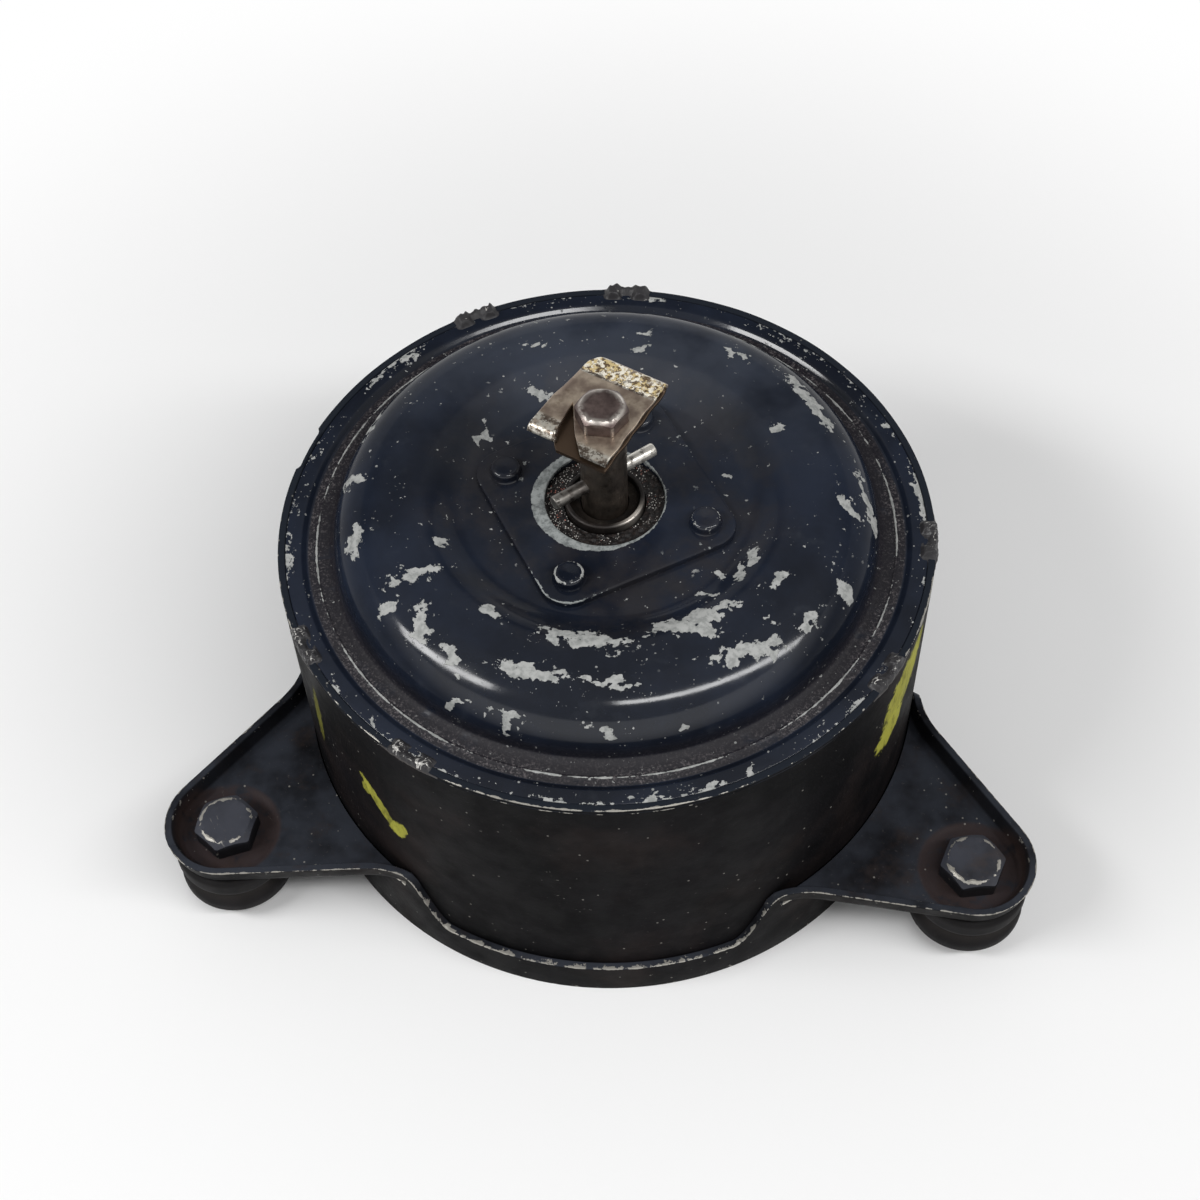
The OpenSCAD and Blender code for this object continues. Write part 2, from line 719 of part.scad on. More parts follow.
module cross_pin() {
    r = pin_d / 2;
    color([0.5, 0.46, 0.42]) rotate([0, 0, pin_angle]) translate([-pin_len / 2, 0, pin_z])
        rotate([0, 90, 0]) rotate_extrude($fn = 48) polygon([[0, 0], [r - 0.4, 0], [r, 0.4],
            [r, pin_len - 0.4], [r - 0.4, pin_len], [0, pin_len]]);
}

// Clip: a spring sheet folded over at its back edge. The upper leaf is slotted
// for the bolt and its left prong turns down, and the lower leaf rings the shaft
module fan_clip() {
    back = 14;
    front = -10.7;
    right = 7.2;
    left = -12;
    fold_r = clip_t + clip_gap / 2;
    low_z = -2 * clip_t - clip_gap;
    color([0.68, 0.62, 0.52]) translate([0, 0, clip_top_z]) rotate([0, 0, clip_angle])
        union() {
            // Upper leaf, with X along the clip and Y to its left
            translate([0, 0, -clip_t]) linear_extrude(height = clip_t) difference() {
                polygon(concat([[front, -right], [back, -right]],
                               [[back, -left - 2.5], [back - 2.5, -left],
                                [front + 2.2, -left + 0.4], [front + 1, 5.4],
                                [0.2, 7], [0.2, 3.2]],
                               [[front, -1.2]]));
                circle(r = m6_r + 0.25, $fn = 48);
            }
            // Turned-down tip of the left prong
            translate([front + 2.4, 5.6, -clip_t]) rotate([0, 0, 4]) rotate([90, 0, 180])
                translate([0, 0, 0]) linear_extrude(height = 6.4)
                    polygon(concat([[0, clip_t]], arc(0, -0.6, clip_t + 0.6, 90, 0, 4),
                                   [[clip_t + 0.6, -1.8], [0.6, -1.8]],
                                   arc(0, -0.6, 0.6, 0, 90, 3)));
            // Fold along the back edge
            translate([back, -right, -fold_r]) rotate([-90, 0, 0])
                linear_extrude(height = right - left - 2.5) difference() {
                    circle(r = fold_r, $fn = 48);
                    circle(r = clip_gap / 2, $fn = 48);
                    translate([-2 * fold_r, -fold_r * 1.5]) square([2 * fold_r, 3 * fold_r]);
                }
            // Lower leaf
            translate([0, 0, low_z]) linear_extrude(height = clip_t) difference() {
                polygon([[front + 0.4, -right], [back, -right], [back, -left - 2.5],
                         [4, 8], [front + 1.6, 5], [front, 2]]);
                circle(r = shaft_d / 2 + loose, $fn = 64);
            }
        }
}

// Clip bolt: M6, into the shaft's front end
module clip_bolt() {
    color([0.43, 0.38, 0.37]) translate([0, 0, clip_top_z]) union() {
        rotate([0, 0, 27]) hex_head(m6_af, m6_head_h);
        translate([0, 0, 1.5 - clip_bolt_len])
            cylinder(r = m6_r, h = clip_bolt_len - 1.5 + eps, $fn = 48);
    }
}

// Armature core: stacked laminations with slots for the winding
module armature_core() {
    web_r = 30;
    color([0.55, 0.55, 0.57]) translate([0, 0, core_z]) difference() {
        cylinder(r = core_r, h = core_len, $fn = 128);
        translate([0, 0, -1]) cylinder(r = shaft_d / 2 + snug, h = core_len + 2, $fn = 64);
        for (i = [0:slots - 1]) rotate([0, 0, i * 360 / slots]) {
            translate([core_r - slot_len, -slot_w / 4, -1])
                cube([slot_len - 6, slot_w / 2, core_len + 2]);
            translate([core_r - slot_w - 3, 0, -1])
                cylinder(r = slot_w / 2, h = core_len + 2, $fn = 32);
            translate([core_r - 5, -slot_mouth / 2, -1]) cube([10, slot_mouth, core_len + 2]);
        }
        for (i = [0:5]) rotate([0, 0, i * 60]) translate([(hub_r + web_r) / 2 + 1, 0, -1])
            cylinder(r = 5, h = core_len + 2, $fn = 48);
    }
}

// Winding: copper in the slots, joined by a rounded crown of turns at each end
module armature_winding() {
    bar_clear = loose;
    crown_in = winding_in_r + 0.3;
    color([0.6, 0.32, 0.16]) union() {
        for (i = [0:slots - 1]) rotate([0, 0, i * 360 / slots]) {
            translate([core_r - slot_len + bar_clear, -slot_w / 4 + bar_clear, core_z - 1])
                cube([slot_len - 7, slot_w / 2 - 2 * bar_clear, core_len + 2]);
            translate([core_r - slot_w - 3, 0, core_z - 1])
                cylinder(r = slot_w / 2 - bar_clear, h = core_len + 2, $fn = 32);
        }
        rotate_extrude($fn = 96) polygon([
            [crown_in, core_top + 0.2], [winding_r, core_top + 0.2],
            [winding_r, core_top + overhang_front - crown_edge],
            [winding_r - crown_edge, core_top + overhang_front - 0.6],
            [winding_r - crown_run, core_top + overhang_front],
            [crown_in + 6, core_top + overhang_front],
            [crown_in + 1, core_top + overhang_front - 1.4], [crown_in, core_top + 2]]);
        rotate_extrude($fn = 96) polygon([
            [crown_in, core_z - 0.2], [crown_in, core_z - 2],
            [crown_in + crown_edge, core_z - overhang_rear + 1],
            [crown_in + crown_run, core_z - overhang_rear],
            [winding_r - crown_run, core_z - overhang_rear],
            [winding_r - crown_edge, core_z - overhang_rear + 1],
            [winding_r, core_z - crown_edge], [winding_r, core_z - 0.2]]);
    }
}

// Commutator: copper bars with a riser on each, parted by fine gaps
module commutator() {
    color([0.72, 0.42, 0.24]) difference() {
        union() {
            ring(comm_r, hub_r, comm_z, comm_top - comm_z);
            ring(comm_r + riser_w, hub_r, comm_z, riser_h);
        }
        for (i = [0:bars - 1]) rotate([0, 0, i * 360 / bars])
            translate([comm_r - bar_cut, -bar_gap / 2, comm_z - 1])
                cube([riser_w + 2 * bar_cut, bar_gap, comm_top - comm_z + 2]);
    }
}

// Hub: the moulding that carries the bars on the shaft
module commutator_hub() {
    color([0.2, 0.13, 0.09])
        ring(hub_r - eps, shaft_d / 2 + snug, core_top + 0.1, comm_top - core_top - 0.2);
}

// Thrust washers: beside the front and rear bushes, on the shaft
module thrust_washers() {
    front_z = bush_z - bush_low - loose - washer_t;
    rear_z = rear_bush_z + rear_half + loose;
    color([0.8, 0.78, 0.68]) {
        ring(washer_r, shaft_d / 2 + snug, front_z, washer_t);
        ring(washer_r, shaft_d / 2 + snug, rear_z, washer_t);
    }
}

drum();
front_cover();
mounting_bracket();
bearing_plate();
cover_rivets();
front_bush();
front_bush_retainer();
front_oil_felt();
dust_felt();
rear_bush();
rear_bush_retainer();
rear_oil_felt();
thrust_pad();
field_magnets();
brush_plate();
brush_plate_posts();
brush_boxes();
brush_spring(brush_angles[0]);  // brush_spring_1
brush_spring(brush_angles[1]);  // brush_spring_2
brush_spring(brush_angles[2]);  // brush_spring_3
brush_spring(brush_angles[3]);  // brush_spring_4
brush(brush_angles[0]);  // brush_1
brush(brush_angles[1]);  // brush_2
brush(brush_angles[2]);  // brush_3
brush(brush_angles[3]);  // brush_4
lead_grommet();
ear_bolts();
rubber_mounts();
mount_upper_inserts();
mount_lower_inserts();
shaft();
cross_pin();
fan_clip();
clip_bolt();
armature_core();
armature_winding();
commutator();
commutator_hub();
thrust_washers();
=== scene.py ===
"""Looks of the radiator fan motor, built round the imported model's fixed frame.

Sizes are millimetres in the fields of the motor and the camera, and metres in
the meshes, the lamps and the floor. +Z runs along the shaft towards the fan, the
origin is the centre of the flat base, and the three ears of the bracket stand at
90, 210 and 330 degrees.
"""

import logging
import math
from dataclasses import dataclass, field
from enum import Enum
from functools import reduce
from typing import Callable, Optional, Sequence, Tuple, Union

import bmesh
import bpy
import numpy as np
from mathutils import Matrix

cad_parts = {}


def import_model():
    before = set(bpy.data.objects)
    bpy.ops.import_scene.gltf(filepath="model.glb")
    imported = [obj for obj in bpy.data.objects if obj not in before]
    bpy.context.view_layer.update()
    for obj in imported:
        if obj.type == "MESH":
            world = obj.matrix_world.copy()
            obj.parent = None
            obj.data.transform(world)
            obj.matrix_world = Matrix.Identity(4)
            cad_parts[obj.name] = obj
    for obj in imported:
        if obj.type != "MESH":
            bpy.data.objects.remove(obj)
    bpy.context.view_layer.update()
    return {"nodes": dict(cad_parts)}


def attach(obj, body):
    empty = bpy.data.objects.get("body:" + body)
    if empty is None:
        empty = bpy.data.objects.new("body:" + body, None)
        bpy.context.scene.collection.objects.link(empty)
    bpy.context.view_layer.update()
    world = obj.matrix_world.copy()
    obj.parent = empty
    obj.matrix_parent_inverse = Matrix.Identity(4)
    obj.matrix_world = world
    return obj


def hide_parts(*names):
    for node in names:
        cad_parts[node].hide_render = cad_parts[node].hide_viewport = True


Array = np.ndarray
Socket = bpy.types.NodeSocket
Colour = Tuple[float, float, float]
Value = Union[Socket, float, Colour]
MM = 0.001
TAU = 2.0 * math.pi
log = logging.getLogger("fan_motor")

# Driving sizes, the same as the solids'
DRUM_RADIUS = 72.0
DRUM_HEIGHT = 77.5
DISH_FLOOR = 86.0
EAR_FLOOR = 20.5
EAR_SEAT_DEPTH = 0.8
EAR_ANGLES = (90.0, 210.0, 330.0)
BOLT_CIRCLE = 98.1
CLIP_TOP = 113.4

# Bodies that the new pieces ride on
CASE = "motor_case"
ROTOR = "rotor"


# Surfaces


def smooth(t: Array) -> Array:
    """Ease from 0 to 1: 3t^2 - 2t^3, with t held between 0 and 1."""
    t = np.clip(t, 0.0, 1.0)
    return t * t * (3.0 - 2.0 * t)


def rounded(points: Sequence[Sequence[float]], reach: float, steps: int = 5,
            closed: bool = True) -> Array:
    """Rounds the corners of an outline.

    Each corner is swapped for a quadratic curve that starts and ends at the
    given reach along its two edges, or at their middles if they are shorter.

    Args:
        points: Corners as rows of two values or more; the first two are places,
            and any others are eased between the corners.
        reach: Distance from a corner at which its curve starts.
        steps: Points on each curve.
        closed: Whether the last corner joins the first.

    Returns:
        The rounded outline, as an array with the same columns.
    """
    p = np.asarray(points, float)
    before, after = np.roll(p, 1, axis=0), np.roll(p, -1, axis=0)
    if not closed:
        before[0], after[-1] = p[0], p[-1]

    def share(other: Array) -> Array:
        """Part of the edge towards another corner that the curve takes."""
        length = np.linalg.norm((other - p)[:, :2], axis=1)
        return np.minimum(reach / np.maximum(length, 1e-9), 0.499)[:, None]

    start = p + (before - p) * share(before)
    end = p + (after - p) * share(after)
    t = np.linspace(0.0, 1.0, steps)[None, :, None]
    curve = (1 - t) ** 2 * start[:, None] + 2 * t * (1 - t) * p[:, None] + t ** 2 * end[:, None]
    return curve.reshape(-1, p.shape[1])


def arc(x: float, y: float, radius: float, start: float, end: float, steps: int) -> Array:
    """Points on a circle's arc.

    Args:
        x: First coordinate of the centre.
        y: Second coordinate of the centre.
        radius: Radius of the arc.
        start: Angle of the first point, in degrees.
        end: Angle of the last point, in degrees.
        steps: Number of points.

    Returns:
        The points, as an array with two columns.
    """
    a = np.radians(np.linspace(start, end, steps))
    return np.stack([x + radius * np.cos(a), y + radius * np.sin(a)], axis=-1)


def fill(outline: Array, step: float) -> Array:
    """Adds points along an outline's long edges, so that no edge is longer than a step.

    Args:
        outline: Rows whose first two columns are places.
        step: Greatest length of an edge.

    Returns:
        The finer outline.
    """
    lengths = np.linalg.norm(np.diff(outline[:, :2], axis=0), axis=1)
    parts = [a + (b - a) * np.linspace(0, 1, max(1, math.ceil(n / step)), endpoint=False)[:, None]
             for a, b, n in zip(outline[:-1], outline[1:], lengths)]
    return np.concatenate(parts + [outline[-1:]])


def relief(x: Array, y: Array, size: float, seed: int, waves: int = 18) -> Array:
    """Bumpy relief, mostly between -1 and 1, and the same each run.

    It is a sum of sine waves of random direction and phase, whose lengths lie
    between 0.6 and 1.8 times the given size, over the root of their number.

    Args:
        x: First coordinate of each point.
        y: Second coordinate of each point.
        size: Usual length of a wave.
        seed: Start of the random numbers.
        waves: Number of waves.

    Returns:
        The relief at each point.
    """
    rng = np.random.default_rng(seed)
    way, phase = rng.uniform(0, TAU, (2, waves))
    rate = TAU / (size * rng.uniform(0.6, 1.8, waves))
    across = x[..., None] * np.cos(way) + y[..., None] * np.sin(way)
    return np.sin(rate * across + phase).sum(axis=-1) / math.sqrt(waves)


def turned(points: Array, degrees: float) -> Array:
    """Points turned about the Z axis by an angle in degrees."""
    c, s = math.cos(math.radians(degrees)), math.sin(math.radians(degrees))
    return points @ np.array([[c, s, 0.0], [-s, c, 0.0], [0.0, 0.0, 1.0]])


def quads(rows: int, cols: int, wrap_rows: bool = False, wrap_cols: bool = True) -> Array:
    """Four-sided faces between the points of a grid, which are numbered row by row.

    Args:
        rows: Number of rows.
        cols: Number of columns.
        wrap_rows: Whether the last row joins the first.
        wrap_cols: Whether the last column joins the first.

    Returns:
        The faces, as rows of four points.
    """
    i = np.arange(rows if wrap_rows else rows - 1)[:, None]
    j = np.arange(cols if wrap_cols else cols - 1)[None, :]
    i2, j2 = (i + 1) % rows, (j + 1) % cols
    faces = np.stack([i * cols + j, i * cols + j2, i2 * cols + j2, i2 * cols + j], axis=-1)
    return faces.reshape(-1, 4)


class Skin:
    """Collects grids of points and makes them one closed, smooth mesh."""

    def __init__(self, name: str) -> None:
        """Starts an empty skin.

        Args:
            name: Name of the piece.
        """
        self.name = name
        self.points: list = []
        self.faces: list = []
        self.wear: list = []
        self.count = 0

    def add(self, grid: Array, wrap_rows: bool = False, wrap_cols: bool = True,
            wear: Optional[Array] = None) -> "Skin":
        """Adds a grid of points as rows and columns of four-sided faces.

        Args:
            grid: Points in millimetres, as rows x columns x 3.
            wrap_rows: Whether the last row joins the first.
            wrap_cols: Whether the last column joins the first.
            wear: How worn each point is, from 0 to 1, as rows x columns.

        Returns:
            The skin itself.
        """
        rows, cols = grid.shape[:2]
        self.faces.append(quads(rows, cols, wrap_rows, wrap_cols) + self.count)
        self.points.append(grid.reshape(-1, 3) * MM)
        worn = np.zeros((rows, cols)) if wear is None else np.broadcast_to(wear, (rows, cols))
        self.wear.append(worn.reshape(-1))
        self.count += rows * cols
        return self

    def piece(self, body: str, finish: "Finish", crease: float = 38.0) -> bpy.types.Object:
        """Makes the object, welds its seams and poles, and puts it on its body.

        Its dust attribute says how far each point faces up; the drum enamel uses it for dust and
        for a painted skylight tint.

        Args:
            body: CAD body that the piece rides on.
            finish: Finish of its surface.
            crease: Angle in degrees past which an edge stays sharp.

        Returns:
            The finished object, at the origin.
        """
        mesh = bpy.data.meshes.new(self.name)
        mesh.from_pydata(np.concatenate(self.points), [], np.concatenate(self.faces))
        layer = mesh.attributes.new("wear", "FLOAT", "POINT")
        layer.data.foreach_set("value", np.concatenate(self.wear).astype(np.float32))
        work = bmesh.new()
        work.from_mesh(mesh)
        bmesh.ops.remove_doubles(work, verts=work.verts, dist=2e-6)
        bmesh.ops.dissolve_degenerate(work, edges=work.edges, dist=1e-7)
        holes = [e for e in work.edges if e.is_boundary]
        if holes:
            bmesh.ops.holes_fill(work, edges=holes, sides=0)
        bmesh.ops.recalc_face_normals(work, faces=work.faces)
        work.to_mesh(mesh)
        work.free()
        mesh.shade_smooth()
        mesh.set_sharp_from_angle(angle=math.radians(crease))
        normals = np.empty(3 * len(mesh.vertices), np.float32)
        mesh.vertex_normals.foreach_get("vector", normals)
        dust = mesh.attributes.new("dust", "FLOAT", "POINT")
        dust.data.foreach_set("value", smooth(normals[2::3] * 1.2).astype(np.float32))
        mesh.materials.append(finish.material())
        piece = bpy.data.objects.new(self.name, mesh)
        bpy.context.scene.collection.objects.link(piece)
        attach(piece, body)
        return piece


def revolve(outline: Array, segments: int = 256) -> Tuple[Array, Array]:
    """Carries an outline round the Z axis.

    Point (r, z) at angle a goes to (r cos a, r sin a, z).

    Args:
        outline: Rows of radius, height and, where there is a third, wear.
        segments: Number of steps round the axis.

    Returns:
        The grid of points, one row for each point of the outline, and the wear.
    """
    a = np.linspace(0.0, TAU, segments, endpoint=False)[None, :]
    r, z = outline[:, 0][:, None], outline[:, 1][:, None]
    grid = np.stack([r * np.cos(a), r * np.sin(a), z + 0 * a], axis=-1)
    wear = outline[:, 2][:, None] + 0 * a if outline.shape[1] > 2 else np.zeros(grid.shape[:2])
    return grid, wear


# Finishes


def srgb(r: float, g: float, b: float) -> Colour:
    """A colour given as screen values, as the linear values that a shader takes.

    Args:
        r: Red, from 0 to 255.
        g: Green, from 0 to 255.
        b: Blue, from 0 to 255.

    Returns:
        The linear colour.
    """
    c = np.array([r, g, b]) / 255.0
    linear = np.where(c <= 0.04045, c / 12.92, ((c + 0.055) / 1.055) ** 2.4)
    return tuple(float(v) for v in linear)


class Graph:
    """A material's node tree, written as short calls."""

    def __init__(self, name: str) -> None:
        """Makes an empty material with a Principled shader.

        Args:
            name: Name of the material.
        """
        self.material = bpy.data.materials.new(name)
        self.material.use_nodes = True
        self.tree = self.material.node_tree
        self.tree.nodes.clear()
        self.shader = self.tree.nodes.new("ShaderNodeBsdfPrincipled")
        self.out = self.tree.nodes.new("ShaderNodeOutputMaterial")
        self.tree.links.new(self.shader.outputs[0], self.out.inputs[0])
        coords = self.tree.nodes.new("ShaderNodeTexCoord")
        self.place: Socket = coords.outputs["Object"]
        split = self.tree.nodes.new("ShaderNodeSeparateXYZ")
        self.tree.links.new(self.place, split.inputs[0])
        self.x, self.y, self.z = split.outputs

    def put(self, socket: Socket, value: Value) -> None:
        """Links a socket to another, or sets its own value.

        Args:
            socket: An input.
            value: Another node's output, a number or a colour.
        """
        if isinstance(value, bpy.types.NodeSocket):
            self.tree.links.new(value, socket)
        elif isinstance(value, tuple) and len(socket.default_value) == 4:
            socket.default_value = (*value, 1.0)
        else:
            socket.default_value = value

    def set(self, **inputs: Value) -> None:
        """Sets or links the shader's inputs, named with _ for a space."""
        for name, value in inputs.items():
            self.put(self.shader.inputs[name.replace("_", " ")], value)

    def math(self, operation: str, a: Value, b: Value = 0.0) -> Socket:
        """A maths node of one or two values.

        Args:
            operation: Its operation.
            a: First value.
            b: Second value, where the operation takes two.

        Returns:
            The result.
        """
        node = self.tree.nodes.new("ShaderNodeMath")
        node.operation = operation
        for socket, value in zip(node.inputs, (a, b)):
            self.put(socket, value)
        return node.outputs[0]

    def times(self, *values: Value) -> Socket:
        """The product of two values or more."""
        return reduce(lambda a, b: self.math("MULTIPLY", a, b), values)

    def plus(self, a: Value, b: Value) -> Socket:
        """The sum of two values."""
        return self.math("ADD", a, b)

    def minus(self, a: Value, b: Value) -> Socket:
        """The first value less the second."""
        return self.math("SUBTRACT", a, b)

    def largest(self, *values: Value) -> Socket:
        """The largest of two values or more."""
        return reduce(lambda a, b: self.math("MAXIMUM", a, b), values)

    def length(self, a: Value, b: Value) -> Socket:
        """Length of a line whose two components are given: the root of the sum of their squares."""
        return self.math("SQRT", self.plus(self.times(a, a), self.times(b, b)))

    def noise(self, size: float, detail: float = 4.0, rough: float = 0.55,
              at: Optional[Socket] = None, twist: float = 0.0) -> Socket:
        """Cloudy noise from 0 to 1.

        Args:
            size: Size of its largest forms, in millimetres.
            detail: Number of finer layers.
            rough: Strength of the finer layers.
            at: Coordinates in metres; the object's own where there are none.
            twist: How far the noise distorts itself.

        Returns:
            The noise's value.
        """
        node = self.tree.nodes.new("ShaderNodeTexNoise")
        self.put(node.inputs["Vector"], at or self.place)
        node.inputs["Scale"].default_value = 1000.0 / size
        node.inputs["Detail"].default_value = detail
        node.inputs["Roughness"].default_value = rough
        node.inputs["Distortion"].default_value = twist
        return node.outputs[0]

    def cells(self, size: float) -> Socket:
        """Distance to the nearest of scattered points.

        Args:
            size: How far apart the points lie, in millimetres.

        Returns:
            The distance, as a share of that size.
        """
        node = self.tree.nodes.new("ShaderNodeTexVoronoi")
        self.put(node.inputs["Vector"], self.place)
        node.inputs["Scale"].default_value = 1000.0 / size
        return node.outputs["Distance"]

    def band(self, value: Value, low: Value, high: Value) -> Socket:
        """Smooth step from 0 to 1 between two limits.

        Args:
            value: What the step follows.
            low: Limit at which the step is 0. It may lie above the other.
            high: Limit at which the step is 1.

        Returns:
            The step.
        """
        node = self.tree.nodes.new("ShaderNodeMapRange")
        node.interpolation_type = "SMOOTHSTEP"
        self.put(node.inputs["Value"], value)
        self.put(node.inputs["From Min"], low)
        self.put(node.inputs["From Max"], high)
        return node.outputs[0]

    def mix(self, share: Value, a: Value, b: Value) -> Socket:
        """A colour between two.

        Args:
            share: How far it lies from the first to the second, from 0 to 1.
            a: First colour.
            b: Second colour.

        Returns:
            The colour.
        """
        node = self.tree.nodes.new("ShaderNodeMix")
        node.data_type = "RGBA"
        self.put(node.inputs["Factor"], share)
        self.put(node.inputs[6], a)
        self.put(node.inputs[7], b)
        return node.outputs[2]

    def blend(self, share: Value, a: Value, b: Value) -> Socket:
        """A number between two.

        Args:
            share: How far it lies from the first to the second, from 0 to 1.
            a: First number.
            b: Second number.

        Returns:
            The number.
        """
        node = self.tree.nodes.new("ShaderNodeMix")
        self.put(node.inputs[0], share)
        self.put(node.inputs[2], a)
        self.put(node.inputs[3], b)
        return node.outputs[0]

    def own(self, name: str = "wear") -> Socket:
        """One of the piece's own values.

        Args:
            name: Which one: wear or dust.

        Returns:
            The value.
        """
        node = self.tree.nodes.new("ShaderNodeAttribute")
        node.attribute_name = name
        return node.outputs["Fac"]

    def turned_away(self, low: float, high: float) -> Socket:
        """How far a face is turned from the viewer, as a step of 1 - cosine.

        Args:
            low: Value of 1 - cosine at which the step is 0.
            high: Value of 1 - cosine at which the step is 1.

        Returns:
            The step.
        """
        node = self.tree.nodes.new("ShaderNodeLayerWeight")
        node.inputs[0].default_value = 0.5
        return self.band(node.outputs["Facing"], low, high)

    def joined(self, x: Value, y: Value, z: Value) -> Socket:
        """A vector made of three values.

        Args:
            x: First value.
            y: Second value.
            z: Third value.

        Returns:
            The vector.
        """
        node = self.tree.nodes.new("ShaderNodeCombineXYZ")
        for socket, value in zip(node.inputs, (x, y, z)):
            self.put(socket, value)
        return node.outputs[0]

    def stretched(self, x: float, y: float, z: float) -> Socket:
        """The object's coordinates, each scaled by its own factor."""
        return self.joined(self.times(self.x, x), self.times(self.y, y), self.times(self.z, z))

    def radius(self) -> Socket:
        """Distance from the Z axis, in metres."""
        return self.length(self.x, self.y)

    def polar(self, round_scale: float, out_scale: float, up_scale: float) -> Socket:
        """Coordinates that run round, out from and along the Z axis.

        The first is the angle times 70 mm, so that it is a length on the rim.

        Args:
            round_scale: Factor of the length round the axis.
            out_scale: Factor of the distance from the axis.
            up_scale: Factor of the height.

        Returns:
            The coordinates.
        """
        angle = self.math("ARCTAN2", self.y, self.x)
        return self.joined(self.times(angle, 70 * MM * round_scale),
                           self.times(self.radius(), out_scale), self.times(self.z, up_scale))

    def bump(self, height: Value, depth: float, under: Optional[Socket] = None) -> Socket:
        """A normal from a height map.

        Args:
            height: Height from 0 to 1.
            depth: Real height in millimetres of the value 1.
            under: A normal that this one is laid over.

        Returns:
            The normal.
        """
        node = self.tree.nodes.new("ShaderNodeBump")
        node.inputs["Distance"].default_value = depth * MM
        node.inputs["Strength"].default_value = 1.0
        self.put(node.inputs["Height"], height)
        if under is not None:
            self.put(node.inputs["Normal"], under)
        return node.outputs[0]


@dataclass
class Finish:
    """A surface's finish: the record's slot and the function that draws its nodes."""

    slot: str
    draw: Callable[[str], bpy.types.Material]
    made: Optional[bpy.types.Material] = None

    def material(self) -> bpy.types.Material:
        """Draws the material the first time that it is asked for.

        Returns:
            The material.
        """
        if self.made is None:
            self.made = self.draw(self.slot)
        return self.made


@dataclass(frozen=True)
class WornZone:
    """A patch where paint has chipped, on the cover seen from above."""

    azimuth: float
    radius: float
    length: float
    width: float
    turn: float = 0.0

    def strength(self, x: Array, y: Array) -> Array:
        """Bell-shaped weight of the zone.

        The bell is exp(-(u/length)^2 - (v/width)^2), where u runs across the
        radius and v along it, both turned by the zone's own angle.

        Args:
            x: First coordinate of each point, in millimetres.
            y: Second coordinate of each point.

        Returns:
            The weight at each point.
        """
        a = math.radians(self.azimuth)
        dx, dy = x - self.radius * math.cos(a), y - self.radius * math.sin(a)
        b = a + math.pi / 2 + math.radians(self.turn)
        u, v = dx * math.cos(b) + dy * math.sin(b), -dx * math.sin(b) + dy * math.cos(b)
        return np.exp(-((u / self.length) ** 2) - (v / self.width) ** 2)


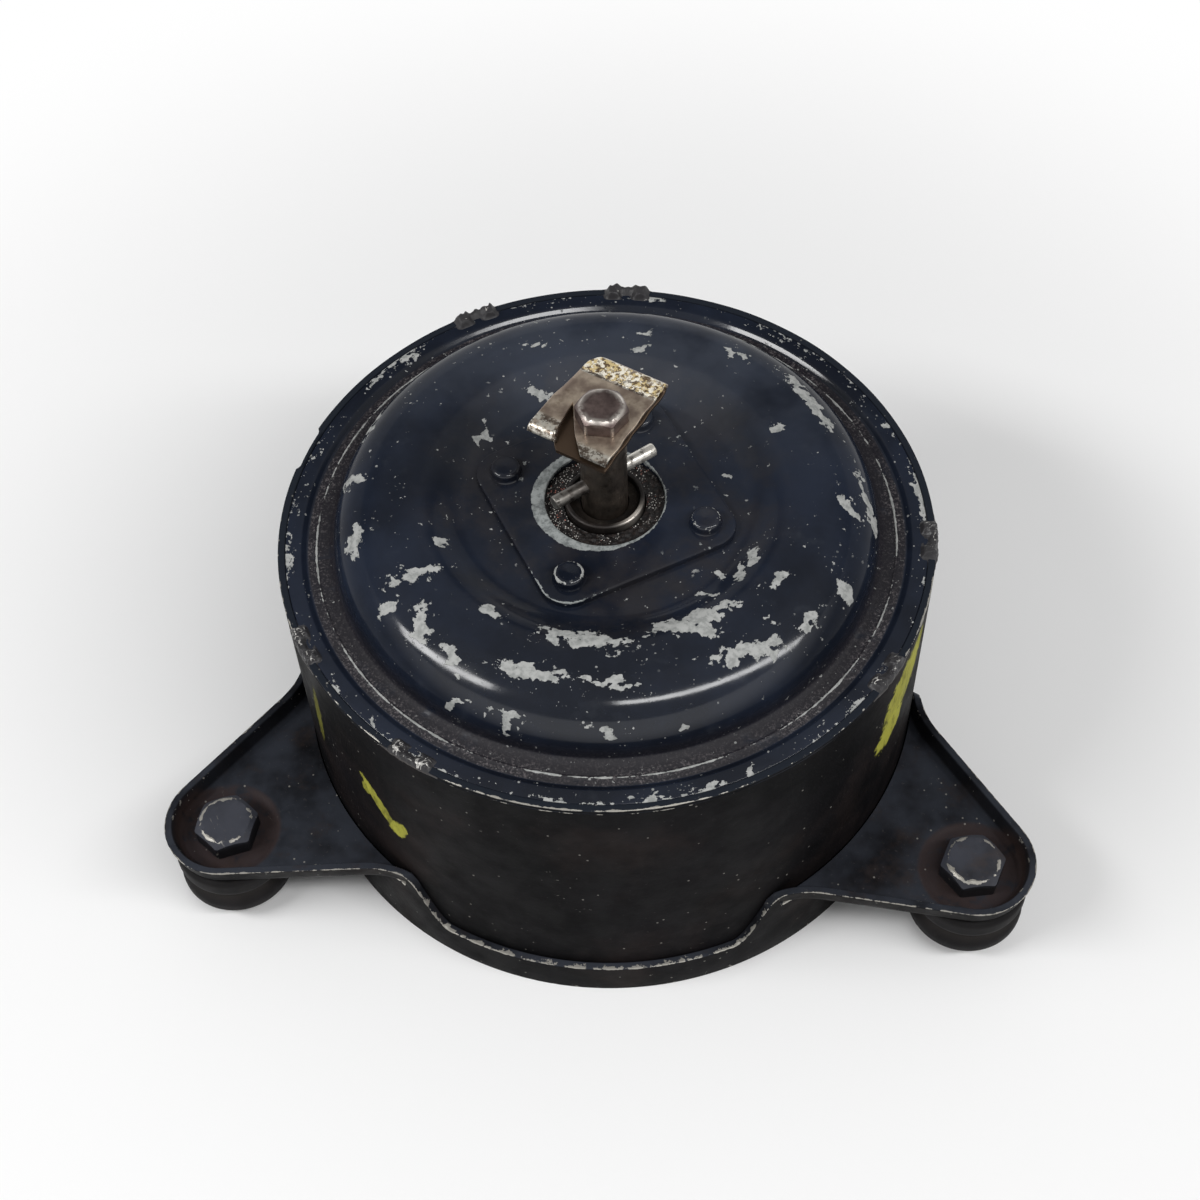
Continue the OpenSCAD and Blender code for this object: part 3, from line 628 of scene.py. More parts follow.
@dataclass(frozen=True)
class CoverEnamel:
    """Blue-black gloss enamel that has chipped to its grey primer."""

    dark: Colour = srgb(20, 24, 33)
    light: Colour = srgb(32, 38, 51)
    bloom: Colour = srgb(66, 70, 76)
    primer: Colour = srgb(168, 169, 167)
    scoured: Colour = srgb(138, 140, 138)
    dust: Colour = srgb(46, 43, 43)
    # Painted sky reflection on the crown's back half
    painted_sky_sheen: Colour = srgb(92, 98, 110)
    grit: Colour = srgb(122, 116, 117)
    mud: Colour = srgb(35, 33, 37)
    gloss: float = 0.11
    grit_from: float = 58.6
    grit_to: float = 65.5
    shine: float = 0.46
    edge_shine: float = 0.05

    def sound(self, g: Graph) -> Socket:
        """The enamel's colour where it is sound, dusty in the dish, with a painted sky reflection
        on the crown's back half.

        Args:
            g: Material's graph.

        Returns:
            The colour.
        """
        r = g.radius()
        colour = g.mix(g.band(g.noise(34, 5, 0.6), 0.35, 0.7), self.dark, self.light)
        soft = g.band(g.noise(6.5, 3, 0.5), 0.6, 0.82)
        colour = g.mix(g.times(soft, 0.22), colour, self.bloom)
        dusty = g.times(g.band(r, 0.045, 0.034), g.band(g.noise(13, 5, 0.65), 0.42, 0.66))
        colour = g.mix(g.times(dusty, 0.5), colour, self.dust)
        # Painted sky reflection: the crown's back half is tinted paler blue-grey, in clouds
        far = g.times(g.band(g.y, -0.005, 0.05), g.band(r, 0.058, 0.05),
                      g.band(g.noise(22, 4, 0.6), 0.2, 0.6))
        return g.mix(g.times(far, 0.29), colour, self.painted_sky_sheen)

    def muddy(self, g: Graph) -> Socket:
        """Where dried mud lies: the ring between the dome and the rim, in clouds.

        Args:
            g: Material's graph.

        Returns:
            The mud, from 0 to 1.
        """
        r = g.radius()
        ring = g.times(g.band(r, self.grit_from * MM, (self.grit_from + 1.6) * MM),
                       g.band(r, (self.grit_to + 0.3) * MM, (self.grit_to - 0.3) * MM),
                       g.band(g.z, 0.0835, 0.0775))
        return g.times(ring, g.band(g.noise(7, 4, 0.6), 0.2, 0.45))

    def chips(self, g: Graph, sparks: Socket) -> Socket:
        """Where the enamel has come off.

        Sharp edged chips lie where streaky noise passes a level that wear lowers.
        Flakes and specks are scattered, and the specks lie thickest beside chips.

        Args:
            g: Material's graph.
            sparks: Where grit has scratched the enamel.

        Returns:
            The chips, from 0 to 1.
        """
        streak = g.noise(2.0, 5, 0.66, at=g.polar(0.42, 1.0, 1.0), twist=0.3)
        score = g.plus(g.times(streak, 1.15), g.times(g.noise(0.9, 3, 0.6), 0.5))
        wear = g.own()
        level = g.minus(1.19, g.times(wear, 0.7))
        chip = g.band(score, level, g.plus(level, 0.012))
        flake = g.times(g.band(g.noise(1.7, 4, 0.65), 0.665, 0.68),
                        g.band(g.noise(13, 3, 0.55), 0.47, 0.58))
        near = g.largest(g.band(wear, 0.01, 0.05), g.band(g.noise(11, 3, 0.5), 0.55, 0.6))
        speck = g.largest(g.band(g.cells(2.6), 0.13, 0.09), g.band(g.cells(1.1), 0.12, 0.08))
        fine = g.times(speck, near, g.band(g.noise(4, 2, 0.5), 0.5, 0.56))
        return g.largest(chip, flake, g.times(fine, 0.8), g.times(sparks, 0.6))

    def draw(self, name: str) -> bpy.types.Material:
        """Draws the enamel's nodes.

        Args:
            name: Name of the material.

        Returns:
            The material.
        """
        g = Graph(name)
        grain, muddy = g.noise(0.6, 4, 0.8), self.muddy(g)
        out = g.times(g.band(g.radius(), 0.0606, 0.0636), g.band(g.noise(16, 3, 0.6), 0.3, 0.65))
        gritty = g.times(g.band(grain, 0.49, 0.69), g.blend(out, 0.2, 0.95))
        caked = g.mix(gritty, self.mud, self.grit)
        colour = g.mix(g.times(muddy, 0.9), self.sound(g), caked)
        sparks = g.times(muddy, g.band(out, 0.1, 0.5), g.band(g.noise(0.7, 2, 0.7), 0.66, 0.72))
        chip = self.chips(g, sparks)
        bare = g.mix(g.band(g.noise(1.6, 3, 0.7), 0.35, 0.6), self.scoured, self.primer)
        g.set(Base_Color=g.mix(chip, colour, bare))
        rough = g.blend(g.band(g.noise(12, 4, 0.6), 0.4, 0.8), self.gloss, self.gloss + 0.1)
        g.set(Roughness=g.blend(g.largest(chip, muddy), rough, 0.8))
        peel = g.bump(g.noise(2.4, 2, 0.4), 0.01)
        rub = g.bump(g.times(grain, muddy), 0.16, peel)
        g.set(Normal=g.bump(g.minus(1.0, chip), 0.05, rub))
        # The socket's own value stays for tools that drop the link
        g.set(Specular_IOR_Level=self.shine)
        g.set(Specular_IOR_Level=g.blend(g.turned_away(0.1, 0.3), self.shine, self.edge_shine))
        return g.material


@dataclass(frozen=True)
class Daub:
    """One stroke of yellow paint, by hand, on the drum's side."""

    azimuth: float
    height: float
    wide: float
    tall: float
    lean: float
    strength: float = 0.92

    def mask(self, g: Graph) -> Socket:
        """How much of the stroke covers each place.

        Across and along the stroke the place is scaled by its half sizes, and a
        ragged noise is added to its distance from the stroke's middle.

        Args:
            g: Material's graph.

        Returns:
            The cover, from 0 to the stroke's strength.
        """
        c, s = math.cos(math.radians(self.azimuth)), math.sin(math.radians(self.azimuth))
        across = g.plus(g.times(g.x, -s), g.times(g.y, c))
        facing = g.plus(g.times(g.x, c), g.times(g.y, s))
        up = g.minus(g.z, self.height * MM)
        side = g.minus(across, g.times(up, self.lean))
        u = g.times(side, 1000.0 / self.wide)
        v = g.times(up, 1000.0 / self.tall)
        ragged = g.plus(g.length(u, v), g.times(g.noise(2.2, 4, 0.7), 1.1))
        patch = g.times(g.band(ragged, 1.62, 1.4), g.band(facing, 0.03, 0.031))
        thin = g.band(g.noise(2.4, 4, 0.75, at=g.stretched(1.0, 1.0, 0.35)), 0.3, 0.56)
        return g.times(patch, g.blend(thin, 0.45 * self.strength, self.strength))


@dataclass(frozen=True)
class DrumEnamel:
    """Black satin enamel, faded brown, specked and scratched."""

    dark: Colour = srgb(12, 12, 13)
    light: Colour = srgb(20, 19, 21)
    # Pale tint of faces that look up: partly dust, partly painted skylight
    top: Colour = srgb(50, 53, 60)
    bare: Colour = srgb(158, 155, 148)
    rust: Colour = srgb(46, 38, 36)
    dust: Colour = srgb(84, 80, 78)
    rim: Colour = srgb(32, 36, 43)
    yellow: Colour = srgb(164, 162, 68)
    seat: Colour = srgb(58, 45, 41)
    gloss: float = 0.46
    shine: float = 0.03
    daubs: Tuple[Daub, ...] = ()
    seats: Tuple[float, ...] = ()

    def faded(self, g: Graph) -> Socket:
        """The enamel's colour, faded brown, with dust caked on faces that look up, which also get a
        pale blue-grey tint that is partly dust and partly painted skylight.

        Args:
            g: Material's graph.

        Returns:
            The colour.
        """
        up = g.own("dust")
        colour = g.mix(g.band(g.noise(26, 5, 0.6), 0.35, 0.7), self.dark, self.light)
        brown = g.band(g.noise(38, 5, 0.65), 0.48, 0.75)
        colour = g.mix(g.times(brown, 0.5), colour, self.rust)
        # Faces that look up get a pale blue-grey in clouds: partly dust, partly painted skylight
        colour = g.mix(g.times(up, g.band(g.noise(20, 4, 0.6), 0.25, 0.6)), colour, self.top)
        caked = g.times(up, g.band(g.noise(9, 5, 0.7), 0.52, 0.7))
        colour = g.mix(g.times(caked, 0.5), colour, self.rust)
        dust = g.band(g.noise(0.9, 3, 0.75), 0.62, 0.78)
        return g.mix(g.times(dust, g.blend(up, 0.2, 0.6)), colour, self.dust)

    def bolt_seat(self, g: Graph, angle: float) -> Socket:
        """Where the round brown seat under one ear bolt lies.

        Args:
            g: Material's graph.
            angle: The ear's angle, in degrees.

        Returns:
            The seat, from 0 to 1.
        """
        middle = [BOLT_CIRCLE * MM * f(math.radians(angle)) for f in (math.cos, math.sin)]
        away = g.length(g.minus(g.x, middle[0]), g.minus(g.y, middle[1]))
        return g.times(g.band(away, 0.0126, 0.0114), g.band(g.noise(5, 4, 0.6), 0.3, 0.5))

    def specks(self, g: Graph) -> Socket:
        """Small round specks, and nicks that run round the drum.

        Args:
            g: Material's graph.

        Returns:
            The specks and nicks, from 0 to 1.
        """
        speck = g.times(g.band(g.cells(2.8), 0.1, 0.07), g.band(g.noise(13, 3, 0.5), 0.48, 0.54))
        nick = g.noise(2.0, 5, 0.75, at=g.polar(0.3, 1.0, 0.7))
        nicked = g.times(g.band(nick, 0.67, 0.71), g.band(g.noise(21, 3, 0.5), 0.46, 0.54))
        return g.largest(speck, nicked)

    def draw(self, name: str) -> bpy.types.Material:
        """Draws the enamel's nodes.

        Args:
            name: Name of the material.

        Returns:
            The material.
        """
        g = Graph(name)
        colour = self.faded(g)
        for angle in self.seats:
            colour = g.mix(g.times(self.bolt_seat(g, angle), 0.62), colour, self.seat)
        # Rubbed marks run round the drum, and the rim is bluer
        rub = g.noise(2.4, 5, 0.7, at=g.polar(0.16, 1.0, 1.6))
        rubbed = g.times(g.band(rub, 0.66, 0.73), g.band(g.noise(20, 2, 0.5), 0.48, 0.62))
        colour = g.mix(g.times(rubbed, 0.4), colour, self.dust)
        colour = g.mix(g.band(g.z, 0.0770, 0.0773), colour, self.rim)
        for daub in self.daubs:
            colour = g.mix(daub.mask(g), colour, self.yellow)
        # Bare metal shows where ragged noise passes a level that wear lowers
        level = g.minus(0.82, g.times(g.own(), 0.55))
        worn = g.band(g.noise(2.6, 5, 0.7), level, g.plus(level, 0.03))
        chip = g.largest(g.times(self.specks(g), 0.5), worn)
        g.set(Base_Color=g.mix(chip, colour, self.bare))
        rough = g.blend(g.band(g.noise(9, 4, 0.6), 0.3, 0.75), self.gloss, self.gloss + 0.2)
        g.set(Roughness=g.blend(worn, rough, 0.4), Metallic=g.times(worn, 0.5))
        pits = g.bump(g.noise(1.4, 4, 0.7), 0.04)
        g.set(Normal=g.bump(g.minus(1.0, chip), 0.03, pits), Specular_IOR_Level=self.shine)
        return g.material


@dataclass(frozen=True)
class OldSteel:
    """Bare steel that has gone brown with oil, or stayed clean."""

    dark: Colour
    light: Colour
    bright: Colour
    gloss: float = 0.36
    metal: float = 0.85
    stain: float = 0.5
    turned_marks: float = 0.0

    def draw(self, name: str) -> bpy.types.Material:
        """Draws the steel's nodes.

        Args:
            name: Name of the material.

        Returns:
            The material.
        """
        g = Graph(name)
        colour = g.mix(g.band(g.noise(5, 5, 0.6), 0.35, 0.7), self.dark, self.light)
        stain = g.times(g.band(g.noise(3.2, 5, 0.65), 0.55, 0.72), self.stain)
        colour = g.mix(stain, colour, srgb(46, 37, 31))
        worn = g.times(g.own(), g.band(g.noise(2.4, 4, 0.6), 0.3, 0.5))
        colour = g.mix(worn, colour, self.bright)
        g.set(Base_Color=colour)
        g.set(Metallic=g.blend(stain, self.metal, self.metal * 0.5))
        rough = g.blend(g.band(g.noise(2.0, 4, 0.6), 0.3, 0.7), self.gloss, self.gloss + 0.2)
        g.set(Roughness=g.blend(worn, rough, 0.25))
        rings = g.noise(0.5, 2, 0.5, at=g.stretched(0.04, 0.04, 1.0))
        lines = g.bump(rings, 0.01 * self.turned_marks + 0.001)
        g.set(Normal=g.bump(g.noise(1.1, 4, 0.6), 0.03, lines))
        return g.material


@dataclass(frozen=True)
class GoldZinc:
    """Spring steel plated with zinc, with a crust of mottled gold at the fold."""

    base: Colour = srgb(206, 190, 170)
    shade: Colour = srgb(136, 120, 108)
    gold: Colour = srgb(212, 190, 138)
    pale: Colour = srgb(244, 238, 222)
    crust: Colour = srgb(96, 77, 52)
    silver: Colour = srgb(214, 211, 200)
    tarnish: Colour = srgb(78, 68, 60)
    # Painted shade on the lower leaf, under the upper one
    painted_shade: Colour = srgb(88, 72, 58)
    painted_shade_below: float = CLIP_TOP - 1.4

    def draw(self, name: str) -> bpy.types.Material:
        """Draws the plating's nodes.

        Args:
            name: Name of the material.

        Returns:
            The material.
        """
        g = Graph(name)
        colour = g.mix(g.band(g.noise(6, 4, 0.6), 0.35, 0.7), self.shade, self.base)
        stain = g.band(g.noise(3.5, 4, 0.65), 0.56, 0.72)
        colour = g.mix(g.times(stain, 0.4), colour, self.crust)
        # Painted shade: below this height the lower leaf turns dark brown
        lower = g.band(g.z, (self.painted_shade_below + 0.3) * MM, (self.painted_shade_below - 0.3) * MM)
        colour = g.mix(lower, colour, self.painted_shade)
        # The tips have lost their gold and are mottled, silver and dark
        tip = g.times(g.band(g.own(), 0.14, 0.28), g.band(g.noise(2.2, 3, 0.6), 0.3, 0.5))
        mottled = g.mix(g.band(g.noise(1.5, 4, 0.7), 0.44, 0.56), self.tarnish, self.silver)
        colour = g.mix(g.times(tip, 0.85), colour, mottled)
        ragged = g.plus(g.own(), g.times(g.noise(1.6, 4, 0.7), 0.8))
        crusted = g.band(ragged, 0.86, 1.0)
        crumbs = g.mix(g.band(g.noise(1.1, 3, 0.7), 0.47, 0.54), self.crust, self.gold)
        crumbs = g.mix(g.band(g.noise(1.3, 3, 0.7), 0.5, 0.57), crumbs, self.pale)
        g.set(Base_Color=g.mix(crusted, colour, crumbs))
        g.set(Metallic=g.blend(crusted, 0.8, 0.3))
        g.set(Roughness=g.blend(crusted, g.blend(g.noise(3, 3, 0.5), 0.24, 0.44), 0.4))
        scratch = g.bump(g.noise(0.6, 2, 0.5, at=g.stretched(1.0, 0.12, 1.0)), 0.008)
        lumps = g.times(g.noise(0.9, 3, 0.6), crusted)
        g.set(Normal=g.bump(lumps, 0.3, scratch))
        return g.material


@dataclass(frozen=True)
class DullSkin:
    """A matt material: rubber, felt, board, carbon, magnet or moulded plastic."""

    dark: Colour
    light: Colour
    grain: float = 1.2
    depth: float = 0.04
    gloss: float = 0.7
    dust: Colour = srgb(92, 86, 80)
    dusty: float = 0.25
    sheen: float = 0.0
    shine: float = 0.5

    def draw(self, name: str) -> bpy.types.Material:
        """Draws the skin's nodes.

        Args:
            name: Name of the material.

        Returns:
            The material.
        """
        g = Graph(name)
        colour = g.mix(g.band(g.noise(self.grain * 9, 5, 0.6), 0.35, 0.7), self.dark, self.light)
        bloom = g.times(g.band(g.noise(self.grain * 4, 5, 0.65), 0.52, 0.75), self.dusty)
        bloom = g.largest(bloom, g.times(g.own(), self.dusty * 1.6))
        colour = g.mix(bloom, colour, self.dust)
        g.set(Base_Color=colour)
        cloud = g.noise(self.grain * 3, 3, 0.5)
        g.set(Roughness=g.blend(cloud, self.gloss - 0.1, self.gloss + 0.12))
        g.set(Normal=g.bump(g.noise(self.grain, 4, 0.65), self.depth))
        g.set(Sheen_Weight=self.sheen)
        g.set(Specular_IOR_Level=self.shine)
        return g.material


@dataclass(frozen=True)
class CakedGrease:
    """Black grease with fine bright filings and grit stuck in it."""

    dark: Colour = srgb(15, 13, 13)
    light: Colour = srgb(46, 38, 35)
    filings: Colour = srgb(214, 210, 204)
    rusty: Colour = srgb(170, 108, 96)
    size: float = 0.52

    def draw(self, name: str) -> bpy.types.Material:
        """Draws the grease's nodes.

        Args:
            name: Name of the material.

        Returns:
            The material.
        """
        g = Graph(name)
        crumb = g.noise(0.9, 4, 0.75)
        colour = g.mix(g.band(crumb, 0.45, 0.7), self.dark, self.light)
        thick = g.largest(g.band(g.own(), 0.3, 0.9), g.band(g.noise(3.4, 3, 0.5), 0.48, 0.6))
        grit = g.times(g.band(g.cells(self.size), 0.34, 0.22), thick)
        speck = g.mix(g.band(g.noise(1.4, 2, 0.5), 0.58, 0.62), self.filings, self.rusty)
        g.set(Base_Color=g.mix(grit, colour, speck), Metallic=g.times(grit, 0.5))
        g.set(Roughness=g.blend(g.noise(1.6, 3, 0.6), 0.3, 0.62))
        g.set(Normal=g.bump(g.plus(crumb, g.times(grit, 0.4)), 0.22))
        g.set(Specular_IOR_Level=0.3)
        return g.material


class Look(Enum):
    """Every finish on the motor, by the record's slot."""

    COVER = Finish("cover_paint", CoverEnamel().draw)
    PLATE = Finish("cover_paint", CoverEnamel(primer=srgb(146, 150, 149),
                                              scoured=srgb(104, 108, 108)).draw)
    DRUM = Finish("drum_paint", DrumEnamel(daubs=(
        Daub(-129.6, 47.0, 2.2, 8.0, -0.6, 0.8), Daub(-125.6, 42.0, 2.6, 3.6, 0.3),
        Daub(-132.6, 50.0, 1.6, 3.0, 0.3, 0.6), Daub(-147.5, 56.0, 1.6, 12.0, 0.1, 0.32),
        Daub(-23.5, 64.5, 8.0, 9.0, 0.35, 0.85), Daub(-27.5, 53.0, 5.5, 5.5, 0.3),
        Daub(-18.5, 70.0, 4.0, 5.0, 0.2, 0.6))).draw)
    BRACKET = Finish("bracket_paint", DrumEnamel(
        rust=srgb(50, 42, 39), gloss=0.4, seats=EAR_ANGLES).draw)
    LIPS = Finish("drum_paint", DrumEnamel(
        dark=srgb(34, 32, 32), light=srgb(62, 58, 56), top=srgb(66, 63, 62), rim=srgb(46, 45, 47),
        rust=srgb(58, 48, 44), bare=srgb(184, 182, 178), gloss=0.34, shine=0.3).draw)
    BOLT_PAINT = Finish("bracket_paint", DrumEnamel(
        dark=srgb(24, 24, 27), light=srgb(40, 40, 44), top=srgb(60, 62, 70),
        rust=srgb(62, 54, 52), shine=0.2).draw)
    OILY_STEEL = Finish("dark_steel", OldSteel(
        srgb(50, 43, 38), srgb(90, 79, 70), srgb(176, 168, 158), turned_marks=1.0).draw)
    PURPLE_STEEL = Finish("dark_steel", OldSteel(
        srgb(74, 62, 60), srgb(116, 101, 97), srgb(214, 208, 200), 0.36, 0.8, 0.45).draw)
    GREASE = Finish("dark_steel", CakedGrease().draw)
    DIRTY_BUSH = Finish("sintered_bronze", OldSteel(
        srgb(20, 17, 16), srgb(38, 32, 29), srgb(206, 198, 188), 0.4, 0.5, 0.5).draw)
    PIN_STEEL = Finish("dark_steel", OldSteel(
        srgb(30, 26, 24), srgb(58, 52, 48), srgb(222, 218, 210), 0.36, 0.7, 0.4).draw)
    BLACK_FELT = Finish("felt", DullSkin(srgb(16, 14, 13), srgb(34, 29, 25), 0.5, 0.12, 0.9,
                                         shine=0.1).draw)
    CLEAN_STEEL = Finish("bright_steel", OldSteel(
        srgb(140, 138, 134), srgb(168, 166, 162), srgb(205, 204, 200), 0.3, 0.95, 0.15).draw)
    ZINC = Finish("zinc_gold", GoldZinc().draw)
    BRONZE = Finish("sintered_bronze", OldSteel(
        srgb(44, 38, 33), srgb(78, 68, 58), srgb(176, 164, 148), 0.42, 0.7, 0.7).draw)
    COPPER = Finish("copper", OldSteel(
        srgb(130, 70, 38), srgb(176, 106, 64), srgb(216, 150, 104), 0.34, 0.9, 0.2).draw)
    BRASS = Finish("brass_sheet", OldSteel(
        srgb(150, 124, 62), srgb(188, 160, 88), srgb(222, 200, 130), 0.34, 0.95, 0.25).draw)
    FERRITE = Finish("ferrite", DullSkin(srgb(44, 44, 46), srgb(62, 62, 65), 0.8, 0.03, 0.65).draw)
    LAMINATIONS = Finish("laminations", OldSteel(
        srgb(96, 94, 94), srgb(130, 128, 128), srgb(176, 176, 178), 0.42, 0.9, 0.4, 2.0).draw)
    CARBON = Finish("carbon", DullSkin(srgb(30, 30, 31), srgb(44, 44, 46), 0.6, 0.02, 0.6).draw)
    FELT = Finish("felt", DullSkin(srgb(70, 56, 36), srgb(104, 88, 62), 0.5, 0.12, 0.9,
                                   sheen=0.3).draw)
    BOARD = Finish("phenolic", DullSkin(srgb(88, 54, 28), srgb(124, 80, 46), 0.9, 0.02, 0.45).draw)
    NYLON = Finish("nylon", DullSkin(
        srgb(196, 188, 160), srgb(220, 214, 192), 1.0, 0.01, 0.45).draw)
    RUBBER = Finish("black_rubber", DullSkin(
        srgb(13, 12, 14), srgb(24, 22, 24), 1.1, 0.05, 0.6, dusty=0.1, shine=0.12).draw)


# The motor


@dataclass
class PressedDrum:
    """The drawn drum with its staked rim."""

    radius: float = DRUM_RADIUS
    height: float = DRUM_HEIGHT
    wall: float = 2.4
    base: float = 2.2
    edge: float = 3.0
    pocket_radius: float = 17.0
    pocket_depth: float = 3.0
    seat_radius: float = 70.4
    seat_z: float = 75.7
    notch: Tuple[float, float] = (160.0, 170.0)
    notch_depth: float = 0.7
    stakes: Tuple[float, ...] = (-150.0, -120.0, -30.0, 0.0, 90.0, 120.0)
    swell: Tuple[float, ...] = (1.2, 1.1, 1.2, 1.35, 1.6, 1.55)
    lip_inner: float = 68.3
    lip_outer: float = 72.12
    lip_half_angle: float = 5.9
    lobe_angle: float = 2.7
    segments: int = 720

    def outline(self) -> Array:
        """The drum's section from the axis under the base, up the wall and back to the axis.

        Returns:
            Rows of radius, height and wear.
        """
        r, h, e = self.radius, self.height, self.edge
        inside, floor = r - self.wall, self.base
        under = rounded([[0, self.pocket_depth, 0], [self.pocket_radius, self.pocket_depth, 0],
                         [self.pocket_radius + 2.2, 0, 0.2], [r - e, 0, 0.1]], 0.8, closed=False)
        corner = np.column_stack([arc(r - e, e, e, -90, 0, 9), np.full(9, 0.25)])
        top = rounded([[r, 12, 0], [r, h - 2.2, 0], [r, h - 1.6, 0.05], [r, h - 1.3, 0.85],
                       [r - 0.14, h - 1.1, 0], [r - 0.14, h - 0.7, 0], [r, h - 0.4, 0.3],
                       [r, h, 1.15], [r - 0.6, h, 0.05], [self.seat_radius, h, 0.15],
                       [self.seat_radius, self.seat_z, 0.2], [inside, self.seat_z, 0],
                       [inside, 40, 0], [inside, floor, 0],
                       [self.pocket_radius + 2.2, floor, 0],
                       [self.pocket_radius, floor + self.pocket_depth, 0],
                       [0, floor + self.pocket_depth, 0]], 0.3, 4, closed=False)
        return np.concatenate([under, corner, top])

    @staticmethod
    def handled(azimuth: Array) -> Array:
        """How much the rim is worn: bells at the front and at -14 degrees, in patches.

        Args:
            azimuth: Angles round the shaft, in degrees.

        Returns:
            The factor of the wear at each angle.
        """
        off = np.mod(azimuth + 100 + 180, 360) - 180
        right = 0.45 * np.exp(-(((azimuth + 14) / 11) ** 2))
        a = np.radians(azimuth)
        patchy = 0.78 + 0.22 * np.sin(a * 9 + 1.0) * np.sin(a * 4)
        return (0.35 + 0.65 * np.exp(-((off / 75) ** 2))) * patchy + right

    def shell(self) -> bpy.types.Object:
        """The drum's wall and base, with the shallow step beside its rim.

        Returns:
            The piece.
        """
        outline = self.outline()
        grid, wear = revolve(outline, self.segments)
        azimuth = np.degrees(np.arctan2(grid[..., 1], grid[..., 0]))
        middle, half = sum(self.notch) / 2, (self.notch[1] - self.notch[0]) / 2
        inside = smooth((half - np.abs(azimuth - middle)) / 0.8)
        near_top = smooth((grid[..., 2] - (self.height - 2.2)) / 0.6)
        outer = outline[:, 0][:, None] > self.seat_radius + 0.6
        shrink = 1 - self.notch_depth * inside * near_top * outer / self.radius
        a = np.radians(azimuth)
        ripple = 0.05 * np.sin(a * 7 + 0.6) + 0.03 * np.sin(a * 23)
        grid[..., :2] *= shrink[..., None]
        grid[..., 2] += ripple * near_top
        skin = Skin("drum_shell").add(grid, wear=wear * self.handled(azimuth))
        piece = skin.piece(CASE, Look.DRUM.value)
        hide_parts("drum")
        return piece

    def bells(self, angle: Array, radius: Array) -> Array:
        """Height of a staked lip before it is roughened.

        It is a sum of bells: a ridge along the drum's edge, two lobes that reach
        inwards at the lobe angle to each side of its middle, and a hollow between.

        Args:
            angle: Degrees from the lip's middle.
            radius: Distance from the shaft.

        Returns:
            The height, from 0 to about 1.5.
        """
        bites = np.exp(-((np.abs(angle) - self.lobe_angle) / 1.35) ** 4)
        ridge = np.exp(-((radius - 71.3) / 0.85) ** 2) * (0.62 + 0.38 * bites)
        lobes = 0.8 * np.exp(-((radius - 69.9) / 1.1) ** 2) * bites
        hollow = 0.5 * np.exp(-(angle / 1.3) ** 2 - ((radius - 69.7) / 1.0) ** 2)
        return ridge + lobes - hollow

    def lip(self, middle: float, swell: float, seed: int) -> Tuple[Array, Array]:
        """One staked lip, a rough scab that fades at both ends.

        Relief roughens the bells. The swell scales the lip's height and the
        relief's waves, makes the relief shallower, and pushes the lip out past the
        drum. Wear lies along the crests, and most at the front.

        Args:
            middle: Angle of its middle in degrees.
            swell: How swollen it is, from 1.
            seed: Start of its relief's random numbers.

        Returns:
            The grid and its wear.
        """
        angle = np.linspace(-self.lip_half_angle, self.lip_half_angle, 96)[None, :]
        radius = np.linspace(self.lip_inner, self.lip_outer, 30)[:, None]
        ends = 1 - smooth((np.abs(angle) - 3.2) / 2.0)
        along, across = angle * 1.25 + 0 * radius, radius + 0 * angle
        rough = relief(along, across, 1.25 * swell, 40 + seed)
        fine = relief(along, across, 0.5 * swell, 60 + seed)
        lift = (self.bells(angle, radius) + (0.26 * rough + 0.08 * fine) / swell ** 2.5) * ends
        edge = (smooth((radius - self.lip_inner) / (0.9 * swell))
                * smooth((self.lip_outer - radius) / (0.35 * swell)))
        height = self.height - 0.35 + np.clip(0.32 + 0.82 * lift, 0, 1.6) * edge * ends * swell
        out = (0.9 * (swell - 1) + 0.12) * smooth((radius - 70.0) / 1.8) * (0.8 + 0.3 * rough)
        r = radius + (out + 0.12 * rough * edge) * ends
        a = np.radians(middle + angle) + 0 * radius
        top = np.stack([r * np.cos(a), r * np.sin(a), height], axis=-1)
        below = top[::-1] * np.array([1, 1, 0]) + np.array([0, 0, self.height - 0.9])
        front = np.exp(-(((np.mod(middle + 280, 360) - 180) / 85) ** 2))
        crest = np.exp(-((rough + 0.15) / 0.3) ** 2) * smooth((lift - 0.3) / 0.3)
        worn = (0.45 + 0.6 * front) * np.maximum(crest, 0.55 * smooth((lift - 0.95) / 0.3))
        return np.concatenate([top, below]), np.concatenate([worn, 0 * worn])

    def staked_lips(self) -> bpy.types.Object:
        """The six places where the drum's edge is hit over the cover.

        Returns:
            The piece.
        """
        skin = Skin("drum_staked_lips")
        for k, (middle, swell) in enumerate(zip(self.stakes, self.swell)):
            grid, wear = self.lip(middle, swell, k)
            skin.add(grid, wrap_rows=True, wrap_cols=False, wear=wear)
        return skin.piece(CASE, Look.LIPS.value, 60.0)


